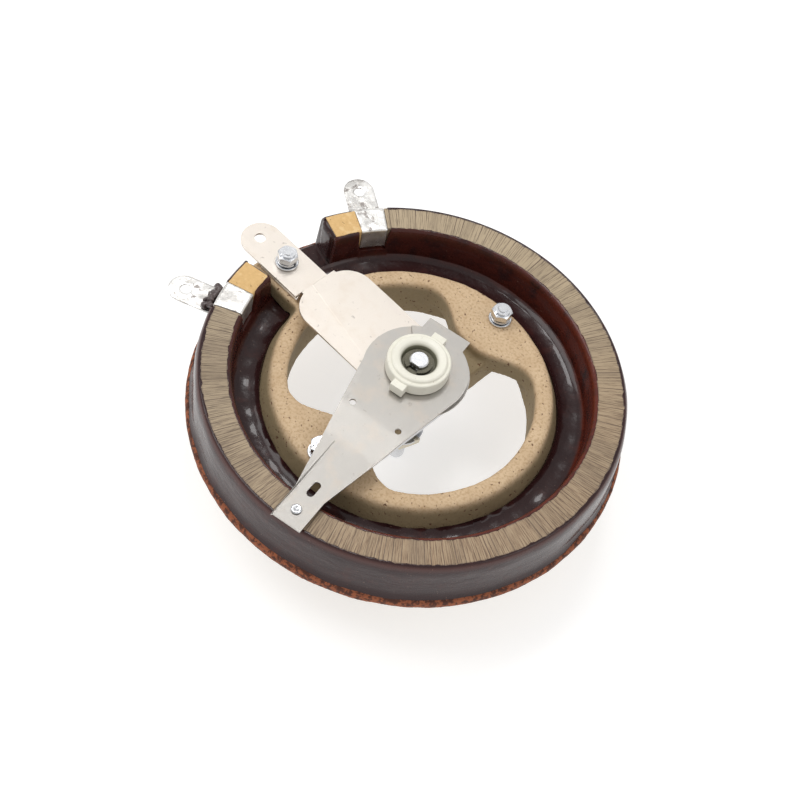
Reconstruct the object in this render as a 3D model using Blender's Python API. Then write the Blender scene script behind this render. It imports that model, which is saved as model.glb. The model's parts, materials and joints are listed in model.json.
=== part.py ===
"""Disc-type wirewound power rheostat, built as separate pieces.

A round ceramic base carries an open ring-shaped core. Resistance wire is wound over the core and
embedded in glazed enamel, except for the top face, which is ground bright as the contact track.
A sheet-steel wiper on a ceramic hub turns with the shaft and joins the track to a fixed collector
plate. The shaft runs in a threaded bushing on a bracket under the base.

Frame: +Z along the shaft towards the wiper, z = 0 on the bracket face that seats on the panel,
-X through the centre terminal, Y through the two bridge bolts. Sizes are in millimetres and are
turned into metres when each mesh is finished.
"""
from math import acos, atan2, cos, degrees, pi, radians, sin, sqrt

import bmesh
import bpy
from mathutils import Matrix, Vector
from mathutils.geometry import tessellate_polygon

MM = 0.001
GAP = 0.3                   # left between pieces that touch on the real object
TURN_STEPS = 80             # straight sides on one full turn of a large ring
SMALL_STEPS = 28            # and on a shaft, a hole or a washer
HOLE_STEPS = 20             # and on a bolt hole
CUTTER_TURN = 3.0           # degrees, so that no cutter's corner lands on a corner of its piece

# ---------------------------------------------------------------- driving sizes, in millimetres
TRACK_R_OUT = 88.0          # outer edge of the contact track
TRACK_WIDTH = 12.0
BODY_HEIGHT = 27.0          # underside of the base to the contact track
FLANGE_LIP = 5.0            # the base disc stands this far beyond the track
FLANGE_T = 5.0
TRENCH_WIDTH = 17.0         # contact track to the top of the hub ring
HUB_WALL = 7.4
HUB_FLARE = 3.8             # the hub ring is this much wider at the trench floor
HUB_DROP = 6.5              # the hub ring's top lies this far below the track
TRENCH_DEPTH = 16.5         # the enamel floor lies this far below the track
BRIDGE_HALF_W = 10.0
PAD_HALF_W = 19.0           # bolt pad where it meets the hub ring
PAD_TIP_HALF_W = 6.5
PAD_SHOULDER_HALF_W = 14.0
PAD_SHOULDER = 5.0          # from the pad's tip to its shoulder
PAD_T = 12.0
BRIDGE_DROP = 13.0          # the bridge's top lies this far below the track
POST_R = 9.5                # ceramic post on the bridge, under the collector plate
TERMINAL_BOSS_HALF_W = 11.0
TERMINAL_BOSS_STEP = 1.0    # the boss is this much lower than the hub ring
BOLT_INSET = 6.4            # bridge bolts, in from the hub ring's outer edge

# Directions round the shaft, in degrees anticlockwise from +X
CORE_START = 190.5
CORE_END = 522.0            # the core's other end, after passing +X
BARE_ARC = 8.8              # core end left without wire
STRAP_ARC = 8.6             # end terminal's band
WIRE_CLEAR_ARC = 0.3
WIPER_AT = 281.5            # where the wiper stands at rest

WIRE_T = 0.5                # thickness of the wound layer
CORE_RECESS = 0.8           # the core is this much smaller under the wire
CORE_BED = 1.3              # glaze between the base disc and the core
ENAMEL_WALL_OUT = 1.3
ENAMEL_WALL_IN = 1.2
ENAMEL_DROP = 0.8           # the enamel stops this far below the track
ENAMEL_LOW = 12.5           # and this far below it beside an end terminal
ENAMEL_BED = 1.0            # glaze floor under the core
ENAMEL_FROM = 183.0         # the glaze's own two ends, beside the terminal boss
ENAMEL_TO = 537.0

STRAP_T = 0.8
STRAP_RISE = 0.3            # the band stands this much above the track
STRAP_LEG = 11.0            # and its legs reach this far below it
LUG_DROP = 7.0              # end lugs' top face, below the track
LUG_HALF_W = 7.0
LUG_REACH = 16.3            # track edge to the lug's rounded end's centre
LUG_HOLE_R = 2.3

CENTRE_LUG_HALF_W = 9.2
CENTRE_LUG_T = 1.0
CENTRE_LUG_REACH = 5.8      # track edge to the lug's rounded end's centre
CENTRE_HOLE_REACH = 7.0
CENTRE_HOLE_R = 2.5
CENTRE_BOLT_INSET = 10.0    # terminal bolt, in from the track's outer edge

COLLECTOR_T = 1.0
COLLECTOR_RISE = 1.6        # the plate's top face, above the track
COLLECTOR_HALF_W = 18.0
COLLECTOR_CORNER_R = 12.0
COLLECTOR_NECK_HALF_W = 9.3

SHAFT_R = 4.0
SHAFT_FLAT = 3.3            # axis to the flats
SHAFT_BELOW_PANEL = 24.0
KNOB_FLAT_L = 11.0
BUSHING_R = 6.0             # M12 thread
BUSHING_BELOW_PANEL = 10.0
BUSHING_COLLAR_R = 8.5
BUSHING_COLLAR_T = 3.0
BUSHING_SLEEVE_R = 6.7
BUSHING_SLEEVE_L = 15.0
PANEL_NUT_HALF_FLATS = 8.5
PANEL_NUT_T = 3.5
PANEL_WASHER_R = 9.5
CLIP_T = 0.8                # both retaining rings, and the washers under them
CLIP_RIM = 1.9              # the rings stand this far out of the shaft
SHAFT_TOP_DROP = 0.6        # shaft end below the button's top
PANEL_SPACE = 3.0           # panel thickness left above the panel nut

BRACKET_T = 2.5
BRACKET_HALF_W = 8.5
BRACKET_PAD_HALF_L = 20.0
BRACKET_RAMP = 9.0
BRACKET_RISE = 6.0          # the bracket's ends stand this far above its pad
BRACKET_END_MARGIN = 7.5    # beyond each bolt

BOLT_R = 2.5                # M5
BOLT_HOLE_R = 2.8
HEX_HALF_FLATS = 4.0
HEAD_T = 3.5
NUT_T = 4.0
WASHER_R = 5.0
WASHER_T = 1.0
SPRING_WASHER_R = 4.3
SPRING_WASHER_T = 1.2
BOLT_TIP = 0.8              # bolt end beyond its nut

HUB_R = 13.3
HUB_TOP = 12.0              # button top, above the track
HUB_RECESS_DEPTH = 4.4
HUB_RECESS_CLEAR = 0.6      # recess wall to the washer in it
HUB_WASHER_RIM = 2.6        # the washer stands this far out of the shaft
HUB_SPIGOT_R = 8.7
HUB_EDGE = 0.7              # width of the button's bevelled rim
HUB_SPIGOT_END = 1.2        # above the track
EAR_HALF_W = 3.0
EAR_REACH = 16.5
EAR_DROP = 2.2              # below the button's top
EAR_T = 4.5

ARM_T = 0.8
ARM_HEAD_R = 21.5
ARM_TIP_Z = 2.0             # underside of the tip, above the track
ARM_BEND_START = 32.0
ARM_BEND_END = 47.0
ARM_NECK_U = 74.0           # the taper ends here, measured out from the axis
ARM_TIP_HALF_W = 6.8
ARM_OVERHANG = 2.0          # beyond the track's outer edge
ARM_TAB_U = 25.0
ARM_TAB_HALF_W = 10.0
ARM_NOTCH_R = 17.0
ARM_NOTCH_FROM = 99.0       # the notch's two ends, from the arm's direction
ARM_NOTCH_TO = 140.0
ARM_SLOT_U = 71.6
ARM_SLOT_L = 7.5
ARM_SLOT_HALF_W = 1.6
ARM_HOLE_U = 30.0
ARM_HOLE_V = 11.0
ARM_HOLE_R = 1.4
LEAF_T = 0.6
LEAF_R = 22.2
BRUSH_L = 9.0
BRUSH_HALF_W = 5.2
BRUSH_T = 1.4
RIVET_HEAD_R = 2.2
RIVET_SHANK_R = 1.2
RIVET_HEAD_T = 0.8

# ---------------------------------------------------------------- sizes that follow from them
TRACK_R_IN = TRACK_R_OUT - TRACK_WIDTH
HUB_R_OUT = TRACK_R_IN - TRENCH_WIDTH
HUB_R_IN = HUB_R_OUT - HUB_WALL
HUB_FOOT_R = HUB_R_OUT + HUB_FLARE
FLANGE_R = TRACK_R_OUT + FLANGE_LIP
BOLT_PCR = HUB_R_OUT - BOLT_INSET
CENTRE_BOLT_X = -(TRACK_R_OUT - CENTRE_BOLT_INSET)

BASE_Z = BRACKET_RISE + BRACKET_T + GAP
FLANGE_Z = BASE_Z + FLANGE_T
TRACK_Z = BASE_Z + BODY_HEIGHT
HUB_Z = TRACK_Z - HUB_DROP
BOSS_Z = HUB_Z - TERMINAL_BOSS_STEP
BRIDGE_Z = TRACK_Z - BRIDGE_DROP
FLOOR_Z = TRACK_Z - TRENCH_DEPTH
COLLECTOR_Z = TRACK_Z + COLLECTOR_RISE - COLLECTOR_T
POST_Z = COLLECTOR_Z - GAP
FOOT_Z = BOSS_Z + GAP
CENTRE_LUG_Z = FOOT_Z + COLLECTOR_T + GAP
LEAF_Z = TRACK_Z + COLLECTOR_RISE + GAP
SLEEVE_TOP_Z = BRACKET_T + GAP + BUSHING_SLEEVE_L
HUB_BORE_R = SHAFT_R + GAP
HUB_RECESS_R = SHAFT_R + HUB_WASHER_RIM + HUB_RECESS_CLEAR
HUB_FLAT = SHAFT_FLAT + GAP
ARM_HEAD_Z = LEAF_Z + 2 * (LEAF_T + GAP)
HUB_BASE_Z = ARM_HEAD_Z + ARM_T + GAP
SPIGOT_HOLE_R = HUB_SPIGOT_R + GAP
COLLECTOR_HOLE_R = HUB_SPIGOT_R + 3 * GAP


# ---------------------------------------------------------------- point lists
def arc(centre, radius, start, end, steps):
    """Points on an arc, both ends included, angles in degrees."""
    span = radians(end - start) / steps
    first = radians(start)
    return [(centre[0] + radius * cos(first + span * i), centre[1] + radius * sin(first + span * i))
            for i in range(steps + 1)]


def circle(radius, centre=(0.0, 0.0), steps=SMALL_STEPS):
    return arc(centre, radius, 0.0, 360.0, steps)[:-1]


def hexagon(half_flats, centre=(0.0, 0.0)):
    return circle(half_flats / cos(pi / 6), centre, 6)


def rectangle(x0, x1, y0, y1):
    return [(x0, y0), (x1, y0), (x1, y1), (x0, y1)]


def flatted_circle(radius, flat):
    """A circle with one flat facing +X, at the given distance from the centre."""
    corner = degrees(acos(flat / radius))
    return arc((0.0, 0.0), radius, corner, 360.0 - corner, SMALL_STEPS)


def steps_for(start, end, turn_steps=TURN_STEPS):
    return max(1, round(abs(end - start) / 360.0 * turn_steps))


# ---------------------------------------------------------------- closed meshes
def to_object(bm):
    """A temporary object, still in millimetres, with its faces pointing out."""
    bmesh.ops.recalc_face_normals(bm, faces=bm.faces)
    mesh = bpy.data.meshes.new("shape")
    bm.to_mesh(mesh)
    bm.free()
    shape = bpy.data.objects.new("shape", mesh)
    bpy.context.scene.collection.objects.link(shape)
    return shape


def prism(outline, z0, z1, holes=()):
    """An outline in X and Y, with holes, raised from z0 to z1."""
    loops = [outline, *holes]
    flat = [point for loop in loops for point in loop]
    caps = tessellate_polygon([[Vector((x, y, 0.0)) for x, y in loop] for loop in loops])
    bm = bmesh.new()
    low = [bm.verts.new((x, y, z0)) for x, y in flat]
    high = [bm.verts.new((x, y, z1)) for x, y in flat]
    for a, b, c in caps:
        bm.faces.new((low[a], low[b], low[c]))
        bm.faces.new((high[c], high[b], high[a]))
    first = 0
    for loop in loops:
        count = len(loop)
        for i in range(count):
            a = first + i
            b = first + (i + 1) % count
            bm.faces.new((low[a], low[b], high[b], high[a]))
        first += count
    return to_object(bm)


def turned(profile, steps=TURN_STEPS):
    """A closed (radius, z) outline turned round the Z axis. Points on the axis become poles."""
    bm = bmesh.new()
    rings = []
    for radius, z in profile:
        if radius == 0.0:
            pole = bm.verts.new((0.0, 0.0, z))
            rings.append([pole] * steps)
        else:
            rings.append([bm.verts.new((x, y, z)) for x, y in circle(radius, steps=steps)])
    for k, ring in enumerate(rings):
        following = rings[(k + 1) % len(rings)]
        for i in range(steps):
            j = (i + 1) % steps
            corners = [ring[i], ring[j], following[j], following[i]]
            distinct = list(dict.fromkeys(corners))
            if len(distinct) > 2:
                bm.faces.new(distinct)
    return to_object(bm)


def swept(stations):
    """A solid through (direction, outline) stations round the axis, closed by flat ends."""
    bm = bmesh.new()
    rows = []
    for direction, outline in stations:
        turn = radians(direction)
        rows.append([bm.verts.new((r * cos(turn), r * sin(turn), z)) for r, z in outline])
    for row, following in zip(rows, rows[1:]):
        for i in range(len(row)):
            j = (i + 1) % len(row)
            bm.faces.new((row[i], row[j], following[j], following[i]))
    for end in (rows[0], rows[-1]):
        face = bm.faces.new(end)
        bmesh.ops.triangulate(bm, faces=[face])
    return to_object(bm)


def even_stations(start, end, outline, turn_steps=TURN_STEPS):
    steps = steps_for(start, end, turn_steps)
    return [(start + (end - start) * i / steps, outline) for i in range(steps + 1)]


def bent_sheet(path, thickness, outline, holes=()):
    """Sheet metal whose underside follows path in X and Z, trimmed to an outline in X and Y."""
    points = [Vector(p) for p in path]
    normals = []
    for a, b in zip(points, points[1:]):
        run = (b - a).normalized()
        normals.append(Vector((-run.y, run.x)))
    upper = []
    for i, point in enumerate(points):
        before = normals[max(i - 1, 0)]
        after = normals[min(i, len(normals) - 1)]
        mitre = (before + after) / (1.0 + before.dot(after))
        upper.append(point + mitre * thickness)
    section = [(p.x, p.y) for p in points] + [(p.x, p.y) for p in reversed(upper)]
    half_width = max(abs(y) for x, y in outline) + 1.0
    sheet = prism(section, -half_width, half_width)
    sheet.data.transform(Matrix.Rotation(pi / 2, 4, "X"))
    heights = [z for x, z in section]
    return combine(sheet, prism(outline, min(heights) - 1.0, max(heights) + 1.0, holes), "INTERSECT")


def combine(shape, other, operation):
    """Boolean of two temporary objects. The second one is used up."""
    modifier = shape.modifiers.new("combine", "BOOLEAN")
    modifier.operation = operation
    modifier.solver = "EXACT"
    modifier.object = other
    bpy.context.view_layer.update()
    evaluated = shape.evaluated_get(bpy.context.evaluated_depsgraph_get())
    mesh = bpy.data.meshes.new_from_object(evaluated)
    shape.modifiers.clear()
    shape.data = mesh
    bpy.data.objects.remove(other)
    return shape


def join(shape, *others):
    for other in others:
        combine(shape, other, "UNION")
    return shape


def cut(shape, *others):
    for other in others:
        combine(shape, other, "DIFFERENCE")
    return shape


def moved(shape, x=0.0, y=0.0, z=0.0, turn=0.0):
    """Turns a temporary object about Z by degrees, then shifts it."""
    shape.data.transform(Matrix.Translation((x, y, z)) @ Matrix.Rotation(radians(turn), 4, "Z"))
    return shape


def finish(shape, name, material, parent=None):
    """Names a shape as one node of the model, in metres, shaded smooth with sharp edges kept."""
    mesh = shape.data
    mesh.transform(Matrix.Scale(MM, 4))
    mesh.materials.clear()
    mesh.materials.append(material)
    mesh.shade_smooth()
    mesh.set_sharp_from_angle(angle=radians(35.0))
    mesh.name = name
    shape.name = name
    shape.parent = parent
    return shape


def make_material(name, colour, roughness, metallic=0.0):
    material = bpy.data.materials.new(name)
    material.use_nodes = True
    shader = material.node_tree.nodes["Principled BSDF"]
    shader.inputs["Base Color"].default_value = (*colour, 1.0)
    shader.inputs["Roughness"].default_value = roughness
    shader.inputs["Metallic"].default_value = metallic
    return material


# ---------------------------------------------------------------- fixed pieces
def ceramic_base():
    """Flange, flared hub ring, bridge with its post, bolt pads and the centre terminal's boss."""
    ring = turned([
        (HUB_R_IN, BASE_Z), (FLANGE_R - 0.8, BASE_Z), (FLANGE_R, BASE_Z + 0.8),
        (FLANGE_R, FLANGE_Z - 0.8), (FLANGE_R - 0.8, FLANGE_Z), (HUB_FOOT_R, FLANGE_Z),
        (HUB_FOOT_R, FLOOR_Z), (HUB_R_OUT + 0.4, HUB_Z - 1.2), (HUB_R_OUT - 0.8, HUB_Z),
        (HUB_R_IN + 0.6, HUB_Z), (HUB_R_IN, HUB_Z - 0.6),
    ])
    into_ring = HUB_R_IN + 0.4 * HUB_WALL
    bridge = prism(rectangle(-BRIDGE_HALF_W, BRIDGE_HALF_W, -into_ring, into_ring), BASE_Z, BRIDGE_Z)
    join(ring, bridge)
    pad_in = BOLT_PCR - 2.5 * WASHER_R
    right = [(PAD_TIP_HALF_W, pad_in), (PAD_SHOULDER_HALF_W, pad_in + PAD_SHOULDER),
             (PAD_HALF_W, HUB_R_IN - 3.0), (PAD_HALF_W, into_ring - 3.0)]
    pad = [*right, *((-x, y) for x, y in reversed(right))]
    for side in (1, -1):
        join(ring, prism([(x, side * y) for x, y in pad], HUB_Z - PAD_T, HUB_Z - 0.05))
    post = prism(circle(POST_R, steps=48), BRIDGE_Z - 4.0, POST_Z)
    boss = prism(rectangle(-TRACK_R_OUT, -HUB_R_OUT + 1.0, -TERMINAL_BOSS_HALF_W,
                           TERMINAL_BOSS_HALF_W), FLANGE_Z - 2.0, BOSS_Z)
    join(ring, post, boss)
    sleeve_top = SLEEVE_TOP_Z + GAP
    bore = turned([(0.0, BASE_Z - 1.0), (BUSHING_SLEEVE_R + GAP, BASE_Z - 1.0),
                   (BUSHING_SLEEVE_R + GAP, sleeve_top), (HUB_BORE_R + GAP, sleeve_top),
                   (HUB_BORE_R + GAP, POST_Z + 1.0), (0.0, POST_Z + 1.0)], SMALL_STEPS)
    cut(ring, moved(bore, turn=CUTTER_TURN))
    for x, y in ((0.0, BOLT_PCR), (0.0, -BOLT_PCR), (CENTRE_BOLT_X, 0.0)):
        cut(ring, moved(prism(circle(BOLT_HOLE_R), BASE_Z - 1.0, HUB_Z + 1.0), x, y, turn=CUTTER_TURN))
    return ring


def box_section(r0, r1, z0, z1):
    return [(r0, z0), (r1, z0), (r1, z1), (r0, z1)]


def winding_core():
    """Open ceramic ring. Its two ends are full size, and the part under the wire is recessed."""
    low = FLANGE_Z + CORE_BED
    full = box_section(TRACK_R_IN, TRACK_R_OUT, low, TRACK_Z)
    slim = box_section(TRACK_R_IN + CORE_RECESS, TRACK_R_OUT - CORE_RECESS, low + CORE_RECESS,
                       TRACK_Z - CORE_RECESS)
    slim_start = CORE_START + BARE_ARC - WIRE_CLEAR_ARC
    slim_end = CORE_END - BARE_ARC + WIRE_CLEAR_ARC
    return swept(even_stations(CORE_START, slim_start, full)
                 + even_stations(slim_start + 0.05, slim_end - 0.05, slim)
                 + even_stations(slim_end, CORE_END, full))


def resistance_winding():
    """The wound layer as one sleeve round the core. Its top face is the contact track."""
    start = CORE_START + BARE_ARC + STRAP_ARC + WIRE_CLEAR_ARC
    end = CORE_END - BARE_ARC - STRAP_ARC - WIRE_CLEAR_ARC
    low = FLANGE_Z + CORE_BED
    outer = box_section(TRACK_R_IN, TRACK_R_OUT, low, TRACK_Z)
    inner = box_section(TRACK_R_IN + WIRE_T, TRACK_R_OUT - WIRE_T, low + WIRE_T, TRACK_Z - WIRE_T)
    step = (end - start) / steps_for(start, end)
    return cut(swept(even_stations(start, end, outer)),
               swept(even_stations(start - step, end + step, inner)))


def enamel_coat():
    """Channel of glaze that lines the trench and embeds the winding up to the track's edges."""
    floor = FLANGE_Z + GAP
    bed = FLANGE_Z + ENAMEL_BED
    rise = FLOOR_Z - bed
    wall_out = TRACK_R_OUT + GAP
    wall_in = TRACK_R_IN - GAP
    trench = [(wall_in - ENAMEL_WALL_IN - 1.5, FLOOR_Z), (HUB_FOOT_R + 3.0, FLOOR_Z),
              (HUB_FOOT_R + GAP, FLOOR_Z + 0.8), (HUB_FOOT_R + GAP, floor)]
    foot = [(wall_out + ENAMEL_WALL_OUT + 1.5, floor)]

    def section(top, channel):
        return foot + [
            (wall_out + ENAMEL_WALL_OUT + 0.4, bed + 3.0), (wall_out + ENAMEL_WALL_OUT, top - 1.0),
            (wall_out, top), (wall_out, channel), (wall_in, channel + 0.02), (wall_in, top),
            (wall_in - ENAMEL_WALL_IN, top - 1.0),
            (wall_in - ENAMEL_WALL_IN - 0.3, FLOOR_Z + 2.5)] + trench

    walled = section(TRACK_Z - ENAMEL_DROP, bed)
    lowered = section(TRACK_Z - ENAMEL_LOW, bed)
    end_wall = section(TRACK_Z - ENAMEL_DROP, TRACK_Z - ENAMEL_DROP - 0.1)
    end_round = section(TRACK_Z - 3.0, TRACK_Z - 3.1)
    gap_floor = foot + [
        (wall_out + ENAMEL_WALL_OUT, bed + 0.6), (wall_out, bed + 1.0), (wall_out - 1.0, bed + 1.2),
        (wall_out - 3.0, bed + 1.3), (wall_in + 2.0, bed + 0.2 * rise), (wall_in, bed + 0.3 * rise),
        (wall_in - ENAMEL_WALL_IN, bed + 0.5 * rise),
        (wall_in - ENAMEL_WALL_IN - 0.3, bed + 0.75 * rise)] + trench

    strap_from = CORE_START + BARE_ARC - 1.0
    strap_to = CORE_START + BARE_ARC + STRAP_ARC + 1.2
    far_from = CORE_END - BARE_ARC - STRAP_ARC - 1.2
    far_to = CORE_END - BARE_ARC + 1.0
    side = 0.3
    wall = 0.7
    stations = [
        *even_stations(ENAMEL_FROM, CORE_START - side - 2 * wall, gap_floor),
        (CORE_START - side - 1.7 * wall, end_round), (CORE_START - side - wall, end_wall),
        (CORE_START - side - 0.05, end_wall),
        *even_stations(CORE_START - side, strap_from, walled),
        *even_stations(strap_from + 0.1, strap_to, lowered),
        *even_stations(strap_to + 0.1, far_from, walled),
        *even_stations(far_from + 0.1, far_to, lowered),
        *even_stations(far_to + 0.1, CORE_END + side, walled),
        (CORE_END + side + 0.05, end_wall), (CORE_END + side + wall, end_wall),
        (CORE_END + side + 1.7 * wall, end_round),
        *even_stations(CORE_END + side + 2 * wall, ENAMEL_TO, gap_floor)]
    boss_half_w = TERMINAL_BOSS_HALF_W + GAP
    boss = prism(rectangle(-FLANGE_R - 5.0, -HUB_R_OUT, -boss_half_w, boss_half_w),
                 BASE_Z, TRACK_Z + 5.0)
    return cut(swept(stations), boss)


def end_terminal(strap_start):
    """Tinned band over the core with a solder lug that leaves its outer leg."""
    top = TRACK_Z + STRAP_RISE
    inner_top = TRACK_Z - CORE_RECESS + GAP
    leg_z = TRACK_Z - STRAP_LEG
    out_face = TRACK_R_OUT + GAP
    in_face = TRACK_R_IN - GAP
    out_inner = TRACK_R_OUT - CORE_RECESS + GAP
    in_inner = TRACK_R_IN + CORE_RECESS - GAP
    band = swept(even_stations(strap_start, strap_start + STRAP_ARC, [
        (out_face, leg_z), (out_face, top - 0.4), (out_face - 0.4, top), (in_face + 0.4, top),
        (in_face, top - 0.4), (in_face, leg_z), (in_inner, leg_z), (in_inner, inner_top),
        (out_inner, inner_top), (out_inner, leg_z)]))
    tip = TRACK_R_OUT + LUG_REACH
    outline = [(out_face - 0.4, -LUG_HALF_W + 1.0), (out_face + 1.0, -LUG_HALF_W),
               *arc((tip, 0.0), LUG_HALF_W, -90.0, 90.0, 16),
               (out_face + 1.0, LUG_HALF_W), (out_face - 0.4, LUG_HALF_W - 1.0)]
    lug_z = TRACK_Z - LUG_DROP
    lug = prism(outline, lug_z - STRAP_T, lug_z, [circle(LUG_HOLE_R, (tip - 0.7, 0.0), HOLE_STEPS)])
    return join(band, moved(lug, turn=strap_start + STRAP_ARC / 2))


def centre_terminal():
    """Flat lug plate clamped to the boss by the terminal bolt."""
    tip = -(TRACK_R_OUT + CENTRE_LUG_REACH)
    inner_end = -(HUB_R_OUT + 3.5)
    outline = [(inner_end, -CENTRE_LUG_HALF_W), (inner_end, CENTRE_LUG_HALF_W),
               *arc((tip, 0.0), CENTRE_LUG_HALF_W, 90.0, 270.0, 20)]
    holes = [circle(CENTRE_HOLE_R, (-(TRACK_R_OUT + CENTRE_HOLE_REACH), 0.0), HOLE_STEPS),
             circle(BOLT_HOLE_R, (CENTRE_BOLT_X, 0.0), HOLE_STEPS)]
    return prism(outline, CENTRE_LUG_Z, CENTRE_LUG_Z + CENTRE_LUG_T, holes)


def collector_plate():
    """Foot under the centre lug, a riser outside the hub ring, and the plate round the shaft."""
    foot_end = CENTRE_BOLT_X - 6.0
    riser_x = -(HUB_R_OUT + 0.9)
    plate_edge = -(HUB_R_OUT - 0.5)
    corner = (plate_edge + COLLECTOR_CORNER_R, COLLECTOR_HALF_W - COLLECTOR_CORNER_R)
    turn_in = degrees(acos((COLLECTOR_NECK_HALF_W - corner[1]) / COLLECTOR_CORNER_R))
    lower = [(foot_end, -COLLECTOR_NECK_HALF_W),
             *arc((corner[0], -corner[1]), COLLECTOR_CORNER_R, 270.0 - turn_in, 270.0, 10)]
    upper = [(x, -y) for x, y in reversed(lower)]
    outline = [*lower, *arc((0.0, 0.0), COLLECTOR_HALF_W, -90.0, 90.0, 32), *upper]
    holes = [circle(COLLECTOR_HOLE_R), circle(BOLT_HOLE_R, (CENTRE_BOLT_X, 0.0), HOLE_STEPS)]
    path = [(foot_end - 1.0, FOOT_Z), (riser_x - 1.0, FOOT_Z), (riser_x, COLLECTOR_Z),
            (COLLECTOR_HALF_W + 1.0, COLLECTOR_Z)]
    return bent_sheet(path, COLLECTOR_T, outline, holes)


def bracket_height(y):
    """Underside of the bracket at a distance along it."""
    along = min(max((abs(y) - BRACKET_PAD_HALF_L) / BRACKET_RAMP, 0.0), 1.0)
    return BRACKET_RISE * along


def front_bracket():
    """Steel strap under the bridge: bolted at both ends, dropped to a pad at the panel."""
    end = BOLT_PCR + BRACKET_END_MARGIN
    bends = [-end - 1.0, -BRACKET_PAD_HALF_L - BRACKET_RAMP, -BRACKET_PAD_HALF_L,
             BRACKET_PAD_HALF_L, BRACKET_PAD_HALF_L + BRACKET_RAMP, end + 1.0]
    half = BRACKET_HALF_W
    outline = [*arc((end - half, 0.0), half, -90.0, 90.0, 12),
               *arc((half - end, 0.0), half, 90.0, 270.0, 12)]
    holes = [circle(BUSHING_R + GAP), circle(BOLT_HOLE_R, (BOLT_PCR, 0.0), HOLE_STEPS),
             circle(BOLT_HOLE_R, (-BOLT_PCR, 0.0), HOLE_STEPS)]
    path = [(x, bracket_height(x)) for x in bends]
    return moved(bent_sheet(path, BRACKET_T, outline, holes), turn=90.0)


def panel_bushing():
    """Threaded bushing: M12 below, a collar on the bracket and a sleeve up into the bridge."""
    collar_z = BRACKET_T + GAP
    collar_top = collar_z + BUSHING_COLLAR_T
    bore = HUB_BORE_R
    return turned([
        (bore, -BUSHING_BELOW_PANEL), (BUSHING_R - 0.8, -BUSHING_BELOW_PANEL),
        (BUSHING_R, -BUSHING_BELOW_PANEL + 0.8), (BUSHING_R, collar_z), (BUSHING_COLLAR_R, collar_z),
        (BUSHING_COLLAR_R, collar_top), (BUSHING_SLEEVE_R, collar_top),
        (BUSHING_SLEEVE_R, SLEEVE_TOP_Z), (bore, SLEEVE_TOP_Z),
    ], 48)


def ring_prism(outer_r, inner_r, z0, z1, steps=SMALL_STEPS):
    return turned([(inner_r, z0), (outer_r, z0), (outer_r, z1), (inner_r, z1)], steps)


def hex_nut(half_flats, bore_r, z0, z1):
    """Hexagon with its corners turned off at the top and a plain bore."""
    across_corners = half_flats / cos(pi / 6)
    blank = prism(hexagon(half_flats), z0, z1, [circle(bore_r, steps=24)])
    crown = turned([(0.0, z0 - 1.0), (across_corners + 1.0, z0 - 1.0),
                    (across_corners + 1.0, z1 - 0.7), (half_flats * 0.96, z1 + 0.05),
                    (0.0, z1 + 0.05)], 36)
    return combine(blank, moved(crown, turn=CUTTER_TURN), "INTERSECT")


def split_washer(outer_r, inner_r, z0, z1):
    """Flattened spring washer with its slot."""
    return swept(even_stations(8.0, 352.0, box_section(inner_r, outer_r, z0, z1), SMALL_STEPS))


def hex_screw(head_z, tip_z):
    """Hexagon-head machine screw, head down."""
    shank = turned([(0.0, head_z - 0.5), (BOLT_R, head_z - 0.5), (BOLT_R, tip_z - 0.5),
                    (BOLT_R - 0.5, tip_z), (0.0, tip_z)], 24)
    return join(prism(hexagon(HEX_HALF_FLATS), head_z - HEAD_T, head_z), shank)


def fastener_set(label, x, y, head_z, seat_z, steel):
    """One bolt from below with a plain washer, a spring washer and a nut on its upper end."""
    washer_z = seat_z + GAP
    spring_z = washer_z + WASHER_T + GAP
    nut_z = spring_z + SPRING_WASHER_T + GAP
    tip_z = nut_z + NUT_T + BOLT_TIP
    bore = BOLT_R + GAP
    pieces = {
        "screw": hex_screw(head_z, tip_z),
        "plain_washer": ring_prism(WASHER_R, bore, washer_z, washer_z + WASHER_T),
        "spring_washer": split_washer(SPRING_WASHER_R, bore, spring_z, spring_z + SPRING_WASHER_T),
        "hex_nut": hex_nut(HEX_HALF_FLATS, bore, nut_z, nut_z + NUT_T),
    }
    for piece, shape in pieces.items():
        finish(moved(shape, x, y), f"{label}_{piece}", steel)


# ---------------------------------------------------------------- pieces that turn
def shaft():
    """Round shaft with a flat at each end and a groove for each retaining ring."""
    top = TRACK_Z + HUB_TOP - SHAFT_TOP_DROP
    low = -SHAFT_BELOW_PANEL
    groove = SHAFT_R - 0.6
    clip = clip_z()
    ring = retaining_ring_z()
    body = turned([
        (0.0, low), (SHAFT_R - 0.6, low), (SHAFT_R, low + 0.6), (SHAFT_R, clip - GAP),
        (groove, clip - GAP), (groove, clip + CLIP_T + GAP), (SHAFT_R, clip + CLIP_T + GAP),
        (SHAFT_R, ring - GAP), (groove, ring - GAP), (groove, ring + CLIP_T + GAP),
        (SHAFT_R, ring + CLIP_T + GAP), (SHAFT_R, top - 0.5), (SHAFT_R - 0.5, top), (0.0, top),
    ], SMALL_STEPS)
    beyond = SHAFT_R + 1.0
    spigot = TRACK_Z + HUB_SPIGOT_END
    hub_end = prism(rectangle(SHAFT_FLAT, beyond, -beyond, beyond), spigot, top + 1.0)
    knob_end = prism(rectangle(SHAFT_FLAT, beyond, -beyond, beyond), low - 1.0, low + KNOB_FLAT_L)
    return cut(body, hub_end, knob_end)


def clip_z():
    """Underside of the clip below the bushing."""
    return -BUSHING_BELOW_PANEL - 2 * GAP - 2 * CLIP_T


def retaining_ring_z():
    """Underside of the ring in the hub's recess."""
    return TRACK_Z + HUB_TOP - HUB_RECESS_DEPTH + 2 * GAP + CLIP_T


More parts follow.
